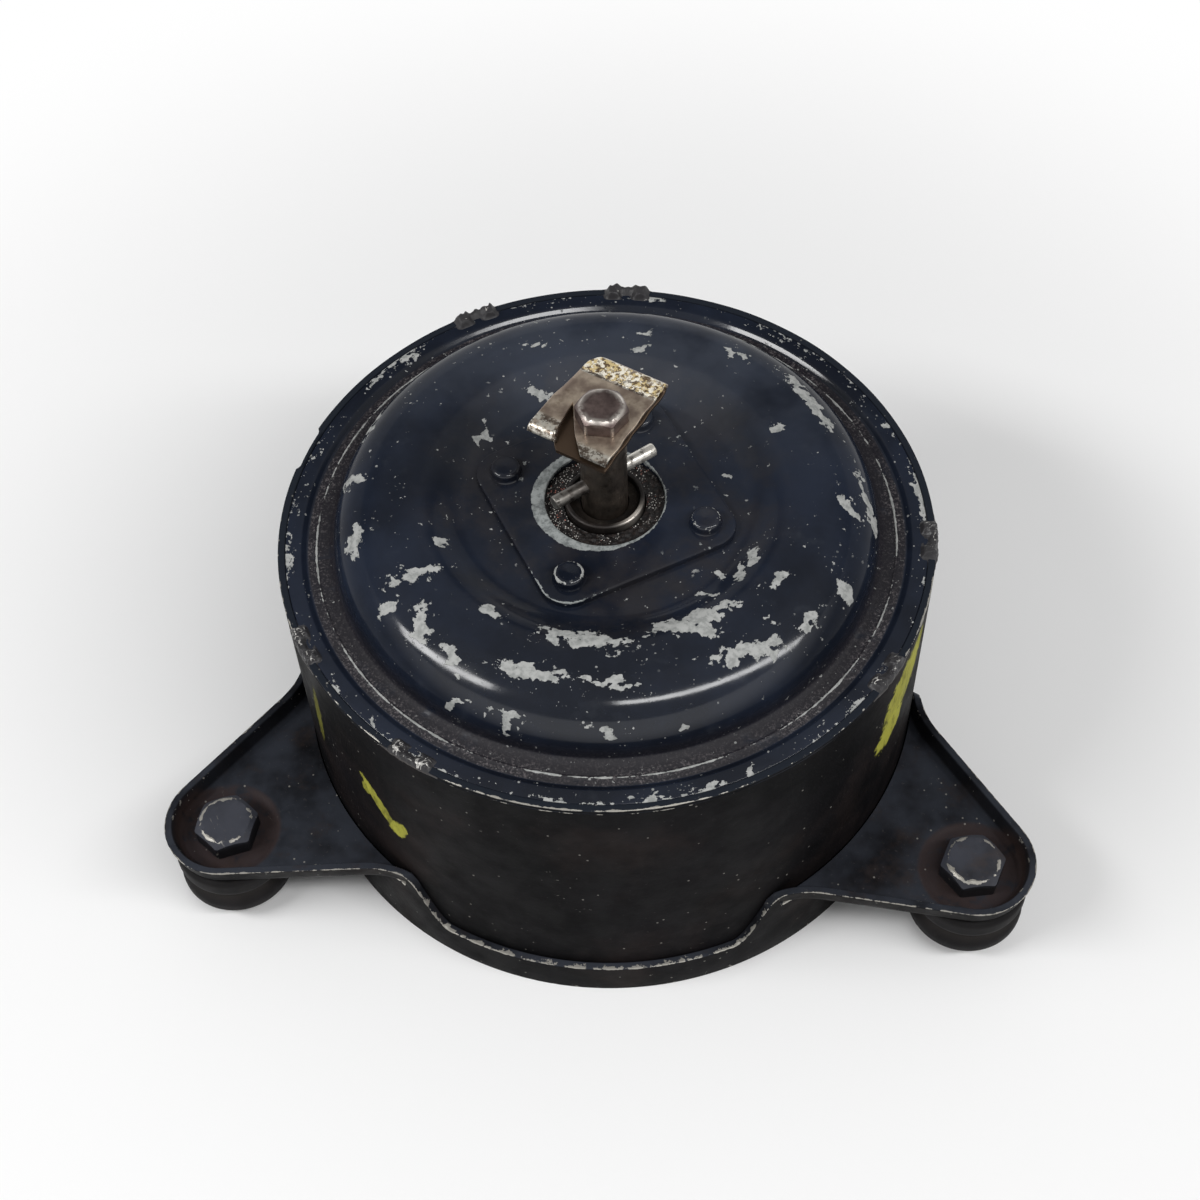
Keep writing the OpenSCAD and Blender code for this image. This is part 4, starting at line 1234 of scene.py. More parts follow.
@dataclass
class FrontCover:
    """The pressed cover with its domed crown."""

    rim_radius: float = 70.35
    rim_z: float = DRUM_HEIGHT - 0.2
    rim_inner: float = 67.0
    rim_run: float = 1.2
    ring_z: float = 76.4
    sheet: float = 1.6
    foot: float = 59.5
    crown: float = 90.0
    shoulder: float = 12.0
    dish_radius: float = 40.2
    dish_run: float = 9.9
    dish_z: float = DISH_FLOOR
    pocket: float = 14.0
    pocket_floor: float = 72.4
    lap_width: float = 1.25
    lap_depth: float = 0.85
    ridge: float = 63.6
    hole: float = 8.3
    segments: int = 400
    # Where the enamel has chipped, listed as azimuth, radius, length, width and turn
    zones: Tuple[WornZone, ...] = tuple(WornZone(*row) for row in (
        (-93, 38.5, 10.5, 2.6, -6), (-57, 38.5, 11, 2.2, -10), (-56, 42.5, 4, 1.2, -39),
        (-51, 51, 9.4, 2.2, -17), (-104, 49, 8.7, 2.4, 2), (-84.5, 49.5, 6.0, 1.0, -13),
        (-106, 57.6, 5.6, 0.8, -3), (-117, 58.5, 2.8, 0.4, 14), (-87, 57.2, 3.6, 0.8, -8),
        (-134, 51, 5.6, 1.9, -40), (-147, 45, 7, 1.9, 78), (-156, 37, 1.9, 1.4, 70),
        (-123, 39.5, 3.5, 1.3, 6), (-165, 54, 4.5, 2.2, -13), (178, 55, 3.3, 2, 85),
        (-123, 52, 4.2, 1.6, -27), (-143, 54, 3.1, 1.6, -84), (-27, 35.5, 6.3, 1.3, 1),
        (-30, 43.5, 3.6, 1.2, -27), (-41, 48.5, 2, 1.3, -61), (-22, 55, 3.5, 1.9, 52),
        (-1, 52.5, 4, 2.1, 42), (33, 52, 11.5, 1.9, 0), (3, 56.5, 8.4, 1.2, 15),
        (28, 42, 1.8, 1.1, 75), (57, 49, 4.1, 1.2, 2), (83, 46.5, 2.8, 0.9, 26),
        (83, 42, 3.2, 1.1, 32), (115, 45.5, 3.6, 0.8, -1), (120, 34, 4.1, 0.8, -45),
        (149, 33, 4.1, 1, 17), (24, 19, 2.1, 1, 43), (18, 27.5, 1.6, 1, 52),
        (137, 69, 4.4, 1.2, -16), (28, 69, 1.8, 1.2, 4), (12, 69, 2.6, 1.1, 7),
        (-34, 54, 4.4, 1.4, -15), (-79, 69.5, 3.6, 0.9, 0), (-68.5, 69.9, 5.5, 0.6, 0),
        (-88.5, 69.8, 1.2, 0.8, 0), (-61, 69.4, 1.6, 0.7, 0), (-170, 69.3, 1.6, 1, 0),
        (-62, 40, 7, 0.9, -42), (-47, 34, 3.2, 1, -60), (-36, 31, 2.4, 0.8, -40),
        (60, 56, 5, 0.8, 5), (160, 57, 5, 1, 8), (-70, 58, 1.0, 0.4, 3), (100, 57, 3, 1, 0)))

    def outline(self) -> Array:
        """The cover's section: its upper face from the rim in, then its lower face out.

        Returns:
            Rows of radius, height and wear.
        """
        run, drop = self.rim_run, self.rim_z - self.ring_z
        rim = rounded([[self.rim_radius, self.rim_z - 1.6, 0.2], [self.rim_radius, self.rim_z, 1.0],
                       [self.rim_inner, self.rim_z, 0.15],
                       [self.rim_inner - 0.3 * run, self.rim_z - 0.3 * drop, 0.0],
                       [self.rim_inner - 0.7 * run, self.rim_z - 0.7 * drop, 0.0],
                       [self.rim_inner - run, self.ring_z, 0.0],
                       [self.ridge + 0.4, self.ring_z, 0.0], [self.ridge, self.ring_z + 0.2, 2.0],
                       [self.ridge - 0.4, self.ring_z, 0.0], [self.foot + 2.0, self.ring_z, 0.0]],
                      0.24, 4, closed=False)
        foot = arc(self.foot + 1.6, self.ring_z + 1.6, 1.6, -90, -180, 8)
        dome = arc(self.foot - self.shoulder, self.crown - self.shoulder, self.shoulder, 0, 90, 34)
        t = np.linspace(0, 1, 26)
        slope = np.column_stack([self.dish_radius - self.dish_run * t,
                                 self.crown - (self.crown - self.dish_z) * smooth(t)])
        low, lap = self.pocket_floor, self.pocket + self.lap_width
        step_z = self.dish_z - self.lap_depth
        floor = rounded([[26, self.dish_z], [lap, self.dish_z], [lap, step_z],
                         [self.pocket, step_z], [self.pocket, low], [self.hole, low],
                         [self.hole, low - self.sheet]], 0.25, 4, closed=False)
        upper = np.concatenate([foot, dome, slope, floor])
        top = np.concatenate([rim, np.column_stack([upper, np.zeros(len(upper))])])
        # The lower face follows every second point, from the rim's inner corner to the dish's flat
        crown, followed = top[:4 - len(floor)], slice(9, None, 2)
        step = np.gradient(crown[:, :2], axis=0)
        normal = np.column_stack([-step[:, 1], step[:, 0]])
        normal /= np.maximum(np.linalg.norm(normal, axis=1), 1e-9)[:, None]
        under = crown[followed] * np.array([1, 1, 0])
        under[:, :2] += self.sheet * normal[followed]
        outside = [[self.pocket + self.sheet, low - self.sheet, 0],
                   [self.pocket + self.sheet, self.dish_z - self.sheet, 0]]
        return np.concatenate([fill(top, 1.1), outside, under[::-1]])

    def build(self) -> bpy.types.Object:
        """The cover, with the places where its enamel has chipped.

        The zones are looked up at places shifted by relief of two sizes, so that
        their edges wander. The step inside the rim is a little steeper at the back.

        Returns:
            The piece.
        """
        grid, wear = revolve(self.outline(), self.segments)
        r = np.hypot(grid[..., 0], grid[..., 1])
        turn = np.degrees(np.arctan2(grid[..., 1], grid[..., 0]))
        steeper = 0.05 + 0.14 * np.exp(-(((turn - 63) / 24) ** 4))
        step = np.clip((r - self.rim_inner + self.rim_run) / self.rim_run, 0, 1)
        moved = steeper * step * np.clip((70 - r) / 2.5, 0, 1)
        grid[..., :2] *= (1 - moved / np.maximum(r, 1))[..., None]
        x, y = grid[..., 0], grid[..., 1]
        u = x + 0.7 * relief(x, y, 4.0, 21) + 0.3 * relief(x, y, 2.0, 22)
        v = y + 0.7 * relief(x, y, 4.0, 23) + 0.3 * relief(x, y, 2.0, 24)
        chipped = sum(zone.strength(u, v) for zone in self.zones)
        chipped = chipped * (1 + 0.22 * relief(x, y, 3.0, 25))
        a = np.arctan2(y, x)
        lip = 0.62 * wear * (0.7 + 0.3 * np.sin(a * 3 + 1.0) * np.sin(a * 11))
        grid[..., 2] += 0.04 * np.sin(a * 2 + 0.5) * smooth((60 - np.hypot(x, y)) / 10)
        skin = Skin("cover_dome").add(grid, wrap_rows=True,
                                      wear=np.clip(np.maximum(chipped, lip), 0, 1))
        piece = skin.piece(CASE, Look.COVER.value)
        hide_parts("front_cover")
        return piece


@dataclass
class BearingPlate:
    """The square plate in the dish and its four rivets."""

    z: float = DISH_FLOOR
    thick: float = 1.5
    rivet_circle: float = 22.8
    corner: float = 6.5
    hole: float = 13.0
    first: float = 75.0
    head_radius: float = 3.4
    head_height: float = 2.3
    shank: float = 1.75
    tail_radius: float = 2.9
    tail_z: float = 82.8
    cover_under: float = 84.4
    rivet_wear: Tuple[float, ...] = (0.45, 0.5, 1.15, 0.7)
    segments: int = 288

    def square(self, inset: float, angle: Array) -> Array:
        """Distance from the shaft to the plate's edge, drawn in by an inset.

        The edge is a square of half width w with round corners of radius q. On a
        flat side the distance is w / cos b, and on a corner it is the far root of
        the ray's meeting with the corner's circle, whichever is nearer.

        Args:
            inset: Distance by which the edge is drawn in.
            angle: Angles in radians.

        Returns:
            The distances.
        """
        reach = self.rivet_circle
        half = reach / math.sqrt(2) + self.corner - inset
        q = self.corner - inset
        b = np.mod(angle - math.radians(self.first), math.pi / 2)
        b = np.minimum(b, math.pi / 2 - b)
        side = half / np.cos(math.pi / 4 - b)
        under = np.maximum(q ** 2 - (reach * np.sin(b)) ** 2, 0.0)
        round_corner = reach * np.cos(b) + np.sqrt(under)
        on_corner = reach * np.sin(b) <= q * math.sin(math.pi / 4)
        return np.where(on_corner, round_corner, side)

    def plate(self) -> bpy.types.Object:
        """The plate as a ring from its round hole to its square edge.

        Returns:
            The piece.
        """
        top, low, e = self.z + self.thick, self.z, 0.35
        a = np.linspace(0, TAU, self.segments, endpoint=False)
        rows = [(0.0, -1, low, 0.0), (0.0, -1, top - e, 0.7), (0.08, -1, top - 0.1, 1.0)]
        rows += [(float(step), -1, top, 1.0) for step in np.arange(0.3, 4.6, 0.3)]
        rows += [(3.0, 1, top, 0.0), (0.7, 1, top, 0.0), (0.4, 1, top, 0.45),
                 (0.1, 1, top - 0.1, 0.9), (0.0, 1, top - e, 0.3), (0.0, 1, low, 0.0)]
        grid = np.empty((len(rows), self.segments, 3))
        wear = np.empty((len(rows), self.segments))
        facing = 0.5 + 0.5 * np.cos(a - math.radians(-165))
        width = 0.3 + 2.7 * facing ** 1.6 + 0.06 * relief(4 * a, 0 * a, 2.2, 5)
        near = np.abs(np.mod(np.degrees(a) + 105 + 180, 360) - 180)
        corner = 0.3 + 0.7 * np.exp(-((near / 17) ** 2))
        for k, (inset, side, z, worn) in enumerate(rows):
            r = self.hole + inset if side < 0 else self.square(inset, a)
            grid[k] = np.stack([r * np.cos(a), r * np.sin(a), np.full_like(a, z)], axis=-1)
            wear[k] = worn * (smooth((width + 0.4 - inset) / 0.8) if side < 0 else corner)
        piece = Skin("bearing_plate_sheet").add(grid, wrap_rows=True, wear=wear).piece(
            CASE, Look.PLATE.value)
        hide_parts("bearing_plate")
        return piece

    def rivets(self) -> bpy.types.Object:
        """Four rivets, whose heads are low drums with a rounded edge and a flattened top.

        Returns:
            The piece.
        """
        top, h, r = self.z + self.thick, self.head_height, self.head_radius
        tail, under = self.tail_radius, self.cover_under
        outline = rounded([[0, self.tail_z, 0], [tail - 0.3, self.tail_z, 0],
                           [tail, under - 0.1, 0], [self.shank, under, 0],
                           [self.shank, top - 0.02, 0],
                           [r + 0.35, top - 0.02, 0.1], [r, top + 0.4, 0.2],
                           [r * 0.97, top + h * 0.72, 0.1], [r * 0.86, top + h * 0.93, 0.9],
                           [r * 0.74, top + h, 0.15], [r * 0.5, top + h * 0.97, 0.0],
                           [0, top + h * 0.9, 0.0]], 0.4, 5, closed=False)
        grid, wear = revolve(outline, 96)
        a = np.arctan2(grid[..., 1], grid[..., 0])
        wear = wear * (0.72 + 0.28 * np.sin(2 * a + 0.6))
        skin = Skin("cover_rivet_heads")
        for k in range(4):
            a = math.radians(self.first + 90 * k)
            shift = np.array([self.rivet_circle * math.cos(a), self.rivet_circle * math.sin(a), 0])
            skin.add(grid + shift, wear=wear * self.rivet_wear[k])
        piece = skin.piece(CASE, Look.COVER.value)
        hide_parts("cover_rivets")
        return piece


@dataclass
class FrontBearing:
    """The front bush's neck and the greasy ring round it, seen in the plate's hole."""

    ball: float = 10.5
    centre_z: float = 79.0
    low: float = 5.8
    bore: float = 5.04
    neck: float = 8.7
    neck_bore: float = 7.6
    neck_top: float = 88.0
    neck_depth: float = 3.0
    ring_radius: float = 15.2
    ring_top: float = 85.95
    ring_low: float = 85.2
    skirt_z: float = 84.0
    ring_rows: int = 26

    def bush(self) -> bpy.types.Object:
        """The bush: a ball with a bored neck, whose rim has a painted highlight on an arc at the
        front right.

        Returns:
            The piece.
        """
        start = math.degrees(math.asin(-self.low / self.ball))
        stop = math.degrees(math.acos(self.neck / self.ball))
        ball = arc(0, self.centre_z, self.ball, start, stop, 24)
        low, floor = self.centre_z - self.low, self.neck_top - self.neck_depth
        neck = rounded([[self.neck, ball[-1, 1] + 0.2, 0], [self.neck, self.neck_top - 0.3, 0.5],
                        [self.neck - 0.35, self.neck_top, 1.1],
                        [self.neck_bore + 0.2, self.neck_top, 0.9],
                        [self.neck_bore, self.neck_top - 0.3, 0.2], [self.neck_bore, floor, 0],
                        [self.bore, floor, 0], [self.bore, low, 0], [ball[0, 0], low, 0]],
                       0.12, 3, closed=False)
        grid, wear = revolve(np.concatenate([np.column_stack([ball, 0 * ball[:, 0]]), neck]), 128)
        a = np.arctan2(grid[..., 1], grid[..., 0])
        # Painted highlight: the neck's rim is bright only on the arc towards the right lamp
        bright = np.exp(-(((np.degrees(a) + 38) / 20) ** 2))
        piece = Skin("front_bush_neck").add(grid, wrap_rows=True, wear=wear * bright).piece(
            CASE, Look.DIRTY_BUSH.value)
        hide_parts("front_bush")
        return piece

    def ring(self) -> bpy.types.Object:
        """The retainer under lumps of old grease and dirt.

        Its upper face is roughened by relief of three sizes.

        Returns:
            The piece.
        """
        hole, n = self.neck + 0.3, self.ring_rows
        top = np.column_stack([np.linspace(self.ring_radius, hole, n), np.full(n, self.ring_top),
                               np.zeros(n)])
        rest = np.array([[hole, self.ring_low, 0], [hole + 0.6, self.skirt_z, 0],
                         [hole + 1.4, self.skirt_z, 0], [hole + 1.6, self.ring_low, 0],
                         [self.ring_radius, self.ring_low, 0]])
        grid, wear = revolve(np.concatenate([top, rest]), 200)
        x, y = grid[..., 0], grid[..., 1]
        waves = ((0.14, 2.6, 11), (0.12, 1.1, 12), (0.08, 0.6, 13))
        lumps = sum(height * relief(x, y, size, seed) for height, size, seed in waves)
        inside = smooth((13.3 - np.hypot(x, y)) / 1.0) * smooth((np.hypot(x, y) - hole) / 0.4)
        grid[:n, :, 2] += (np.clip(lumps, -0.3, 0.5) * inside)[:n]
        wear[:n] = (0.3 + 0.7 * smooth(0.5 - (x - y) / 18))[:n]
        piece = Skin("front_bush_grease_ring").add(grid, wrap_rows=True, wear=wear).piece(
            CASE, Look.GREASE.value, 60.0)
        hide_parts("front_bush_retainer")
        return piece


@dataclass
class EaredBracket:
    """The band round the drum's foot with its three tray-shaped ears."""

    inner: float = DRUM_RADIUS + 0.05
    touch: float = DRUM_RADIUS + 0.3
    sheet: float = 1.8
    band_h: float = 9.5
    bolt_circle: float = BOLT_CIRCLE
    tip: float = 14.0
    side_angle: float = 66.0
    fillet: float = 20.0
    floor: float = EAR_FLOOR
    rim: float = 25.0
    recess: float = EAR_SEAT_DEPTH
    recess_radius: float = 11.4
    fall_from: float = 24.5
    fall_to: float = 34.0
    ears: Tuple[float, ...] = EAR_ANGLES

    @property
    def outer(self) -> float:
        """Outside radius of the band."""
        return self.inner + self.sheet

    @property
    def edge_z(self) -> float:
        """Height of the band's edge between the ears."""
        return self.band_h + 0.3

    def wall_height(self, y: Array) -> Array:
        """Height of the band's edge, which falls as (1 - cos) from an ear's rim.

        Args:
            y: Distances from the ear's middle.

        Returns:
            The heights.
        """
        y0, y1 = (self.outer * math.sin(math.radians(v)) for v in (self.fall_from, self.fall_to))
        t = np.clip((np.abs(y) - y0) / (y1 - y0), 0, 1)
        return self.rim + (self.edge_z - self.rim) * (1 - np.cos(math.pi * t)) / 2

    def half_outline(self, inset: float) -> Array:
        """Half of the ear's edge, from its tip to the band, drawn in by an inset.

        It is an arc about the bolt, a straight side, and an arc about the point
        that lies a fillet's radius outside both the side and the band. That last
        arc stops on the band, or on the drum where the inset lies inside it.

        Args:
            inset: Distance by which the edge is drawn in.

        Returns:
            Points with y from 0 up, as an array with two columns.
        """
        a = math.radians(self.side_angle)
        n, d = np.array([math.cos(a), math.sin(a)]), np.array([-math.sin(a), math.cos(a)])
        out = self.bolt_circle * math.cos(a) + self.tip + self.fillet
        slide = math.sqrt((self.outer + self.fillet) ** 2 - out ** 2)
        c = out * n - slide * d
        away = float(np.hypot(*c))
        q = self.fillet + inset
        swing = (away ** 2 + q ** 2 - self.touch ** 2) / (2 * away * q)
        back = math.degrees(math.atan2(-c[1], -c[0])) + 360
        stop = back + math.degrees(math.acos(min(1.0, swing)))
        tip = arc(self.bolt_circle, 0, self.tip - inset, 0, self.side_angle, 34)
        curve = arc(c[0], c[1], q, self.side_angle + 180, stop, 30)
        t = np.linspace(0, 1, 46)[1:-1, None]
        return np.concatenate([tip, tip[-1] + (curve[0] - tip[-1]) * t, curve])

    def sink(self, x: Array, y: Array) -> Array:
        """Depth of the round seat at points of the ear's floor, eased over 1.8 mm."""
        away = np.hypot(x - self.bolt_circle, y)
        return self.recess * smooth((self.recess_radius + 0.7 - away) / 1.8)

    def ear(self) -> Tuple[Array, Array]:
        """One ear along +X, as closed sections across it from its tip to the drum.

        Returns:
            The grid, one row for each section, and its wear.
        """
        under = self.floor - self.sheet
        edge = rounded([[4.6, under, 0], [3.0, under, 0.0], [1.5, under + 0.5, 0.25],
                        [0.9, self.floor + 0.4, 0.0], [0.12, self.rim - 0.6, 0.05],
                        [0.0, self.rim, 0.92], [0.5, self.rim, 0.1], [1.2, self.rim, 0.05],
                        [1.65, self.rim + 0.03, 0.45], [2.7, self.floor + 1.0, 0.0],
                        [3.9, self.floor, 0.0], [4.6, self.floor, 0.0]], 0.42, 4, closed=False)
        sides = np.stack([self.half_outline(s) for s in edge[:, 0]], axis=1)
        inner = sides[:, -1]
        v = np.linspace(1, -1, 40)[1:-1]
        progress = (inner[0, 0] - inner[:, 0]) / (inner[0, 0] - inner[-1, 0])
        bow = np.sqrt(self.touch ** 2 - (v[None, :] * inner[:, 1:]) ** 2)
        bow -= np.sqrt(np.maximum(self.touch ** 2 - inner[:, 1:] ** 2, 0))
        fx = inner[:, :1] + bow * (progress ** 3)[:, None]
        fy = v[None, :] * inner[:, 1:]
        wall = np.clip((self.wall_height(sides[..., 1]) - under) / (self.rim - under), 0, 1)
        height = under + (edge[:, 1][None, :] - under) * wall
        level = smooth((self.floor + 1.4 - edge[:, 1]) / 1.4) * (edge[:, 0] > 2.6)
        height = height - self.sink(sides[..., 0], sides[..., 1]) * level
        left = np.stack([sides[..., 0], sides[..., 1], height], axis=-1)
        right = left[:, ::-1] * np.array([1, -1, 1])
        floor = np.stack([fx, fy, self.floor - self.sink(fx, fy)], axis=-1)
        below = np.stack([fx, -fy, under - self.sink(fx, fy)], axis=-1)
        grid = np.concatenate([left, floor, right, below], axis=1)
        worn = np.concatenate([edge[:, 2], 0 * v, edge[::-1, 2], 0 * v])
        return grid, np.broadcast_to(worn, grid.shape[:2])

    def band(self) -> Tuple[Array, Array]:
        """The band, whose upper edge follows the ears' fall.

        Returns:
            The grid, one row for each point of its section, and its wear.
        """
        section = rounded([[self.inner, 0, 0.1], [self.outer, 0, 0.4], [self.outer, 4.5, 0],
                           [self.outer, self.band_h - 0.5, 0.05], [self.outer, self.band_h, 0.8],
                           [self.inner, self.band_h, 0.2],
                           [self.inner, 4.5, 0]], 0.3, 4)
        grid, wear = revolve(section, 900)
        a = np.degrees(np.arctan2(grid[..., 1], grid[..., 0]))
        off = np.min([np.abs(np.mod(a - e + 180, 360) - 180) for e in self.ears], axis=0)
        y = self.outer * np.sin(np.radians(off))
        top = np.where(off < 60, self.wall_height(y), self.edge_z)
        top = top + (self.floor - 0.9 - top) * smooth((25.6 - off) / 0.6)
        moves = smooth((section[:, 1] - 4.6) / 2.0)[:, None]
        grid[..., 2] += (top - self.band_h) * moves
        return grid, wear

    def build(self) -> bpy.types.Object:
        """The whole bracket.

        Returns:
            The piece.
        """
        skin = Skin("bracket_sheet")
        grid, wear = self.band()
        skin.add(grid, wrap_rows=True, wear=wear)
        grid, wear = self.ear()
        for angle in self.ears:
            skin.add(turned(grid, angle), wear=wear)
        piece = skin.piece(CASE, Look.BRACKET.value)
        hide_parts("mounting_bracket")
        return piece


@dataclass
class HexBolt:
    """A bolt with a chamfered hexagon head."""

    flats: float
    height: float
    shank: float
    length: float
    worn: float = 1.0
    disc: float = 0.86
    chamfer: float = 34.0
    corner_reach: float = 1.132

    def head(self, segments: int = 180) -> Tuple[Array, Array]:
        """The bolt about the Z axis with its head's underside at height 0.

        A ring at distance t of the way out lies at t times the hexagon's edge,
        f / cos(a) from one flat to the next. The top falls at the chamfer's angle
        past its round disc, whose rim is worn in patches. The sides keep a small
        radius on their six corners.

        Args:
            segments: Steps round the head.

        Returns:
            The grid and its wear.
        """
        a = np.linspace(0, TAU, segments, endpoint=False)
        b = np.mod(a + math.pi / 6, math.pi / 3) - math.pi / 6
        f = self.flats / 2
        edge = np.minimum(f / np.cos(b), f * self.corner_reach)
        rings = np.concatenate([np.linspace(0, 0.82, 6), np.linspace(0.86, 1.0, 14)])
        r_top = rings[:, None] * edge[None, :]
        fall = np.maximum(r_top - self.disc * f, 0) * math.tan(math.radians(self.chamfer))
        dish = 0.12 * smooth((0.8 * f - r_top) / (0.35 * f))
        z_top = self.height - fall - dish
        r_side = np.stack([edge, edge, edge * 0.985, np.full_like(a, f * 0.96)])
        z_side = np.stack([0.6 * self.height + 0 * a, 0.12 + 0 * a, 0 * a, 0 * a])
        z_side[0] = np.minimum(z_side[0], z_top[-1] - 0.1)
        r_shank = np.stack([np.full_like(a, self.shank)] * 2 + [0 * a])
        z_shank = np.stack([0 * a, -self.length + 0 * a, -self.length + 0 * a])
        r = np.concatenate([r_top, r_side, r_shank])
        z = np.concatenate([z_top, z_side, z_shank])
        grid = np.stack([r * np.cos(a), r * np.sin(a), z], axis=-1)
        rim = np.exp(-(((r_top - (self.disc + 0.02) * f) / (0.1 * f)) ** 2))
        patchy = 0.68 + 0.34 * np.sin(2 * a + 0.7) * np.sin(3 * a + 1.9)
        corner = smooth((edge / f - 1.1) / 0.03)[None, :]
        wear = np.concatenate([rim * patchy * self.worn, 0.35 * corner.repeat(4, axis=0),
                               np.zeros_like(r_shank)])
        return grid, wear


@dataclass
class EarHardware:
    """The ears' bolts and the rubber mounts with their inserts."""

    circle: float = BOLT_CIRCLE
    ears: Tuple[float, ...] = EAR_ANGLES
    seat_z: float = EAR_FLOOR - EAR_SEAT_DEPTH
    bolt: HexBolt = field(default_factory=lambda: HexBolt(13.0, 5.3, 4.0, 7.6))
    turns: Tuple[float, ...] = (0.0, 22.0, 10.0)
    rubber_radius: float = 13.2
    rubber_low: float = 4.0
    rubber_top: float = 17.9
    waist: float = 1.5
    lower_plate: float = 9.1
    lower_thread: float = 3.45
    upper_stud: float = 4.2

    def bolts(self) -> bpy.types.Object:
        """The three ear bolts.

        Returns:
            The piece.
        """
        grid, wear = self.bolt.head()
        skin = Skin("ear_bolt_heads")
        for ear, turn in zip(self.ears, self.turns):
            placed = turned(grid, turn) + np.array([self.circle, 0, self.seat_z])
            skin.add(turned(placed, ear), wear=wear)
        piece = skin.piece(CASE, Look.BOLT_PAINT.value, 25.0)
        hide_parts("ear_bolts")
        return piece

    def mounts(self) -> bpy.types.Object:
        """The rubber mounts: round buffers with a hollow waist and a soft lower edge.

        Returns:
            The piece.
        """
        r, low, top = self.rubber_radius, self.rubber_low, self.rubber_top
        mid, neck = (low + top) / 2, r - self.waist
        plate, thread, stud = self.lower_plate, self.lower_thread, self.upper_stud
        outline = rounded([[thread, low + 5.4, 0], [thread, low + 1.4, 0], [plate, low + 1.4, 0],
                           [plate, low, 0.1], [r - 1.9, low, 0.3], [r - 0.1, low + 1.2, 0.2],
                           [r, mid - 2.6, 0], [neck, mid - 0.3, 0.9], [neck, mid + 0.5, 0.9],
                           [r, mid + 2.4, 0.0], [r - 0.1, top - 0.6, 0.2], [r - 1.2, top, 0.1],
                           [stud, top, 0], [stud, top - 2, 0]], 1.1, 7)
        grid, wear = revolve(outline, 128)
        skin = Skin("rubber_mount_buffers")
        for ear in self.ears:
            skin.add(turned(grid + np.array([self.circle, 0, 0]), ear), wrap_rows=True, wear=wear)
        piece = skin.piece(CASE, Look.RUBBER.value)
        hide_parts("rubber_mounts")
        return piece


@dataclass
class ShaftEnd:
    """The shaft, its cross pin, and the clip's bolt."""

    radius: float = 5.0
    low: float = 6.8
    top: float = 112.5
    pin_radius: float = 1.5
    pin_length: float = 25.8
    pin_z: float = 94.8
    pin_angle: float = 38.5
    clip_z: float = CLIP_TOP
    bolt: HexBolt = field(default_factory=lambda: HexBolt(10.0, 4.0, 3.0, 12.5))
    bolt_turn: float = 27.0

    def shaft(self) -> bpy.types.Object:
        """The ground shaft with a chamfer at each end.

        Returns:
            The piece.
        """
        r, top = self.radius, self.top
        outline = rounded([[0, self.low, 0], [r - 0.6, self.low, 0], [r, self.low + 0.6, 0],
                           [r, 85, 0], [r, 88, 0.1], [r, top - 9, 0.15], [r, top - 0.8, 0.3],
                           [r - 0.6, top, 0.8], [0, top, 0.2]], 0.25, 4, closed=False)
        grid, wear = revolve(outline, 96)
        piece = Skin("shaft_ground").add(grid, wear=wear).piece(ROTOR, Look.OILY_STEEL.value)
        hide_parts("shaft")
        return piece

    def cross_pin(self) -> bpy.types.Object:
        """The cross pin, turned from the Z axis to lie across the shaft.

        Returns:
            The piece.
        """
        r, half = self.pin_radius, self.pin_length / 2
        outline = rounded([[0, -half, 0.1], [r, -half, 0.25], [r, -6, 0.05], [r, 5, 0.6],
                           [r, 7, 1.0], [r, half, 1.0], [0, half, 0.9]], 0.4, 5, closed=False)
        grid, wear = revolve(outline, 40)
        lying = np.stack([grid[..., 2], grid[..., 0], grid[..., 1] + self.pin_z], axis=-1)
        piece = Skin("cross_pin_rod").add(turned(lying, self.pin_angle), wear=wear).piece(
            ROTOR, Look.PIN_STEEL.value)
        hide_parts("cross_pin")
        return piece

    def clip_bolt(self) -> bpy.types.Object:
        """The small bolt on top of the clip.

        Returns:
            The piece.
        """
        grid, wear = self.bolt.head()
        placed = turned(grid, self.bolt_turn) + np.array([0, 0, self.clip_z])
        piece = Skin("clip_bolt_head").add(placed, wear=wear).piece(
            ROTOR, Look.PURPLE_STEEL.value, 25.0)
        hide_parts("clip_bolt")
        return piece


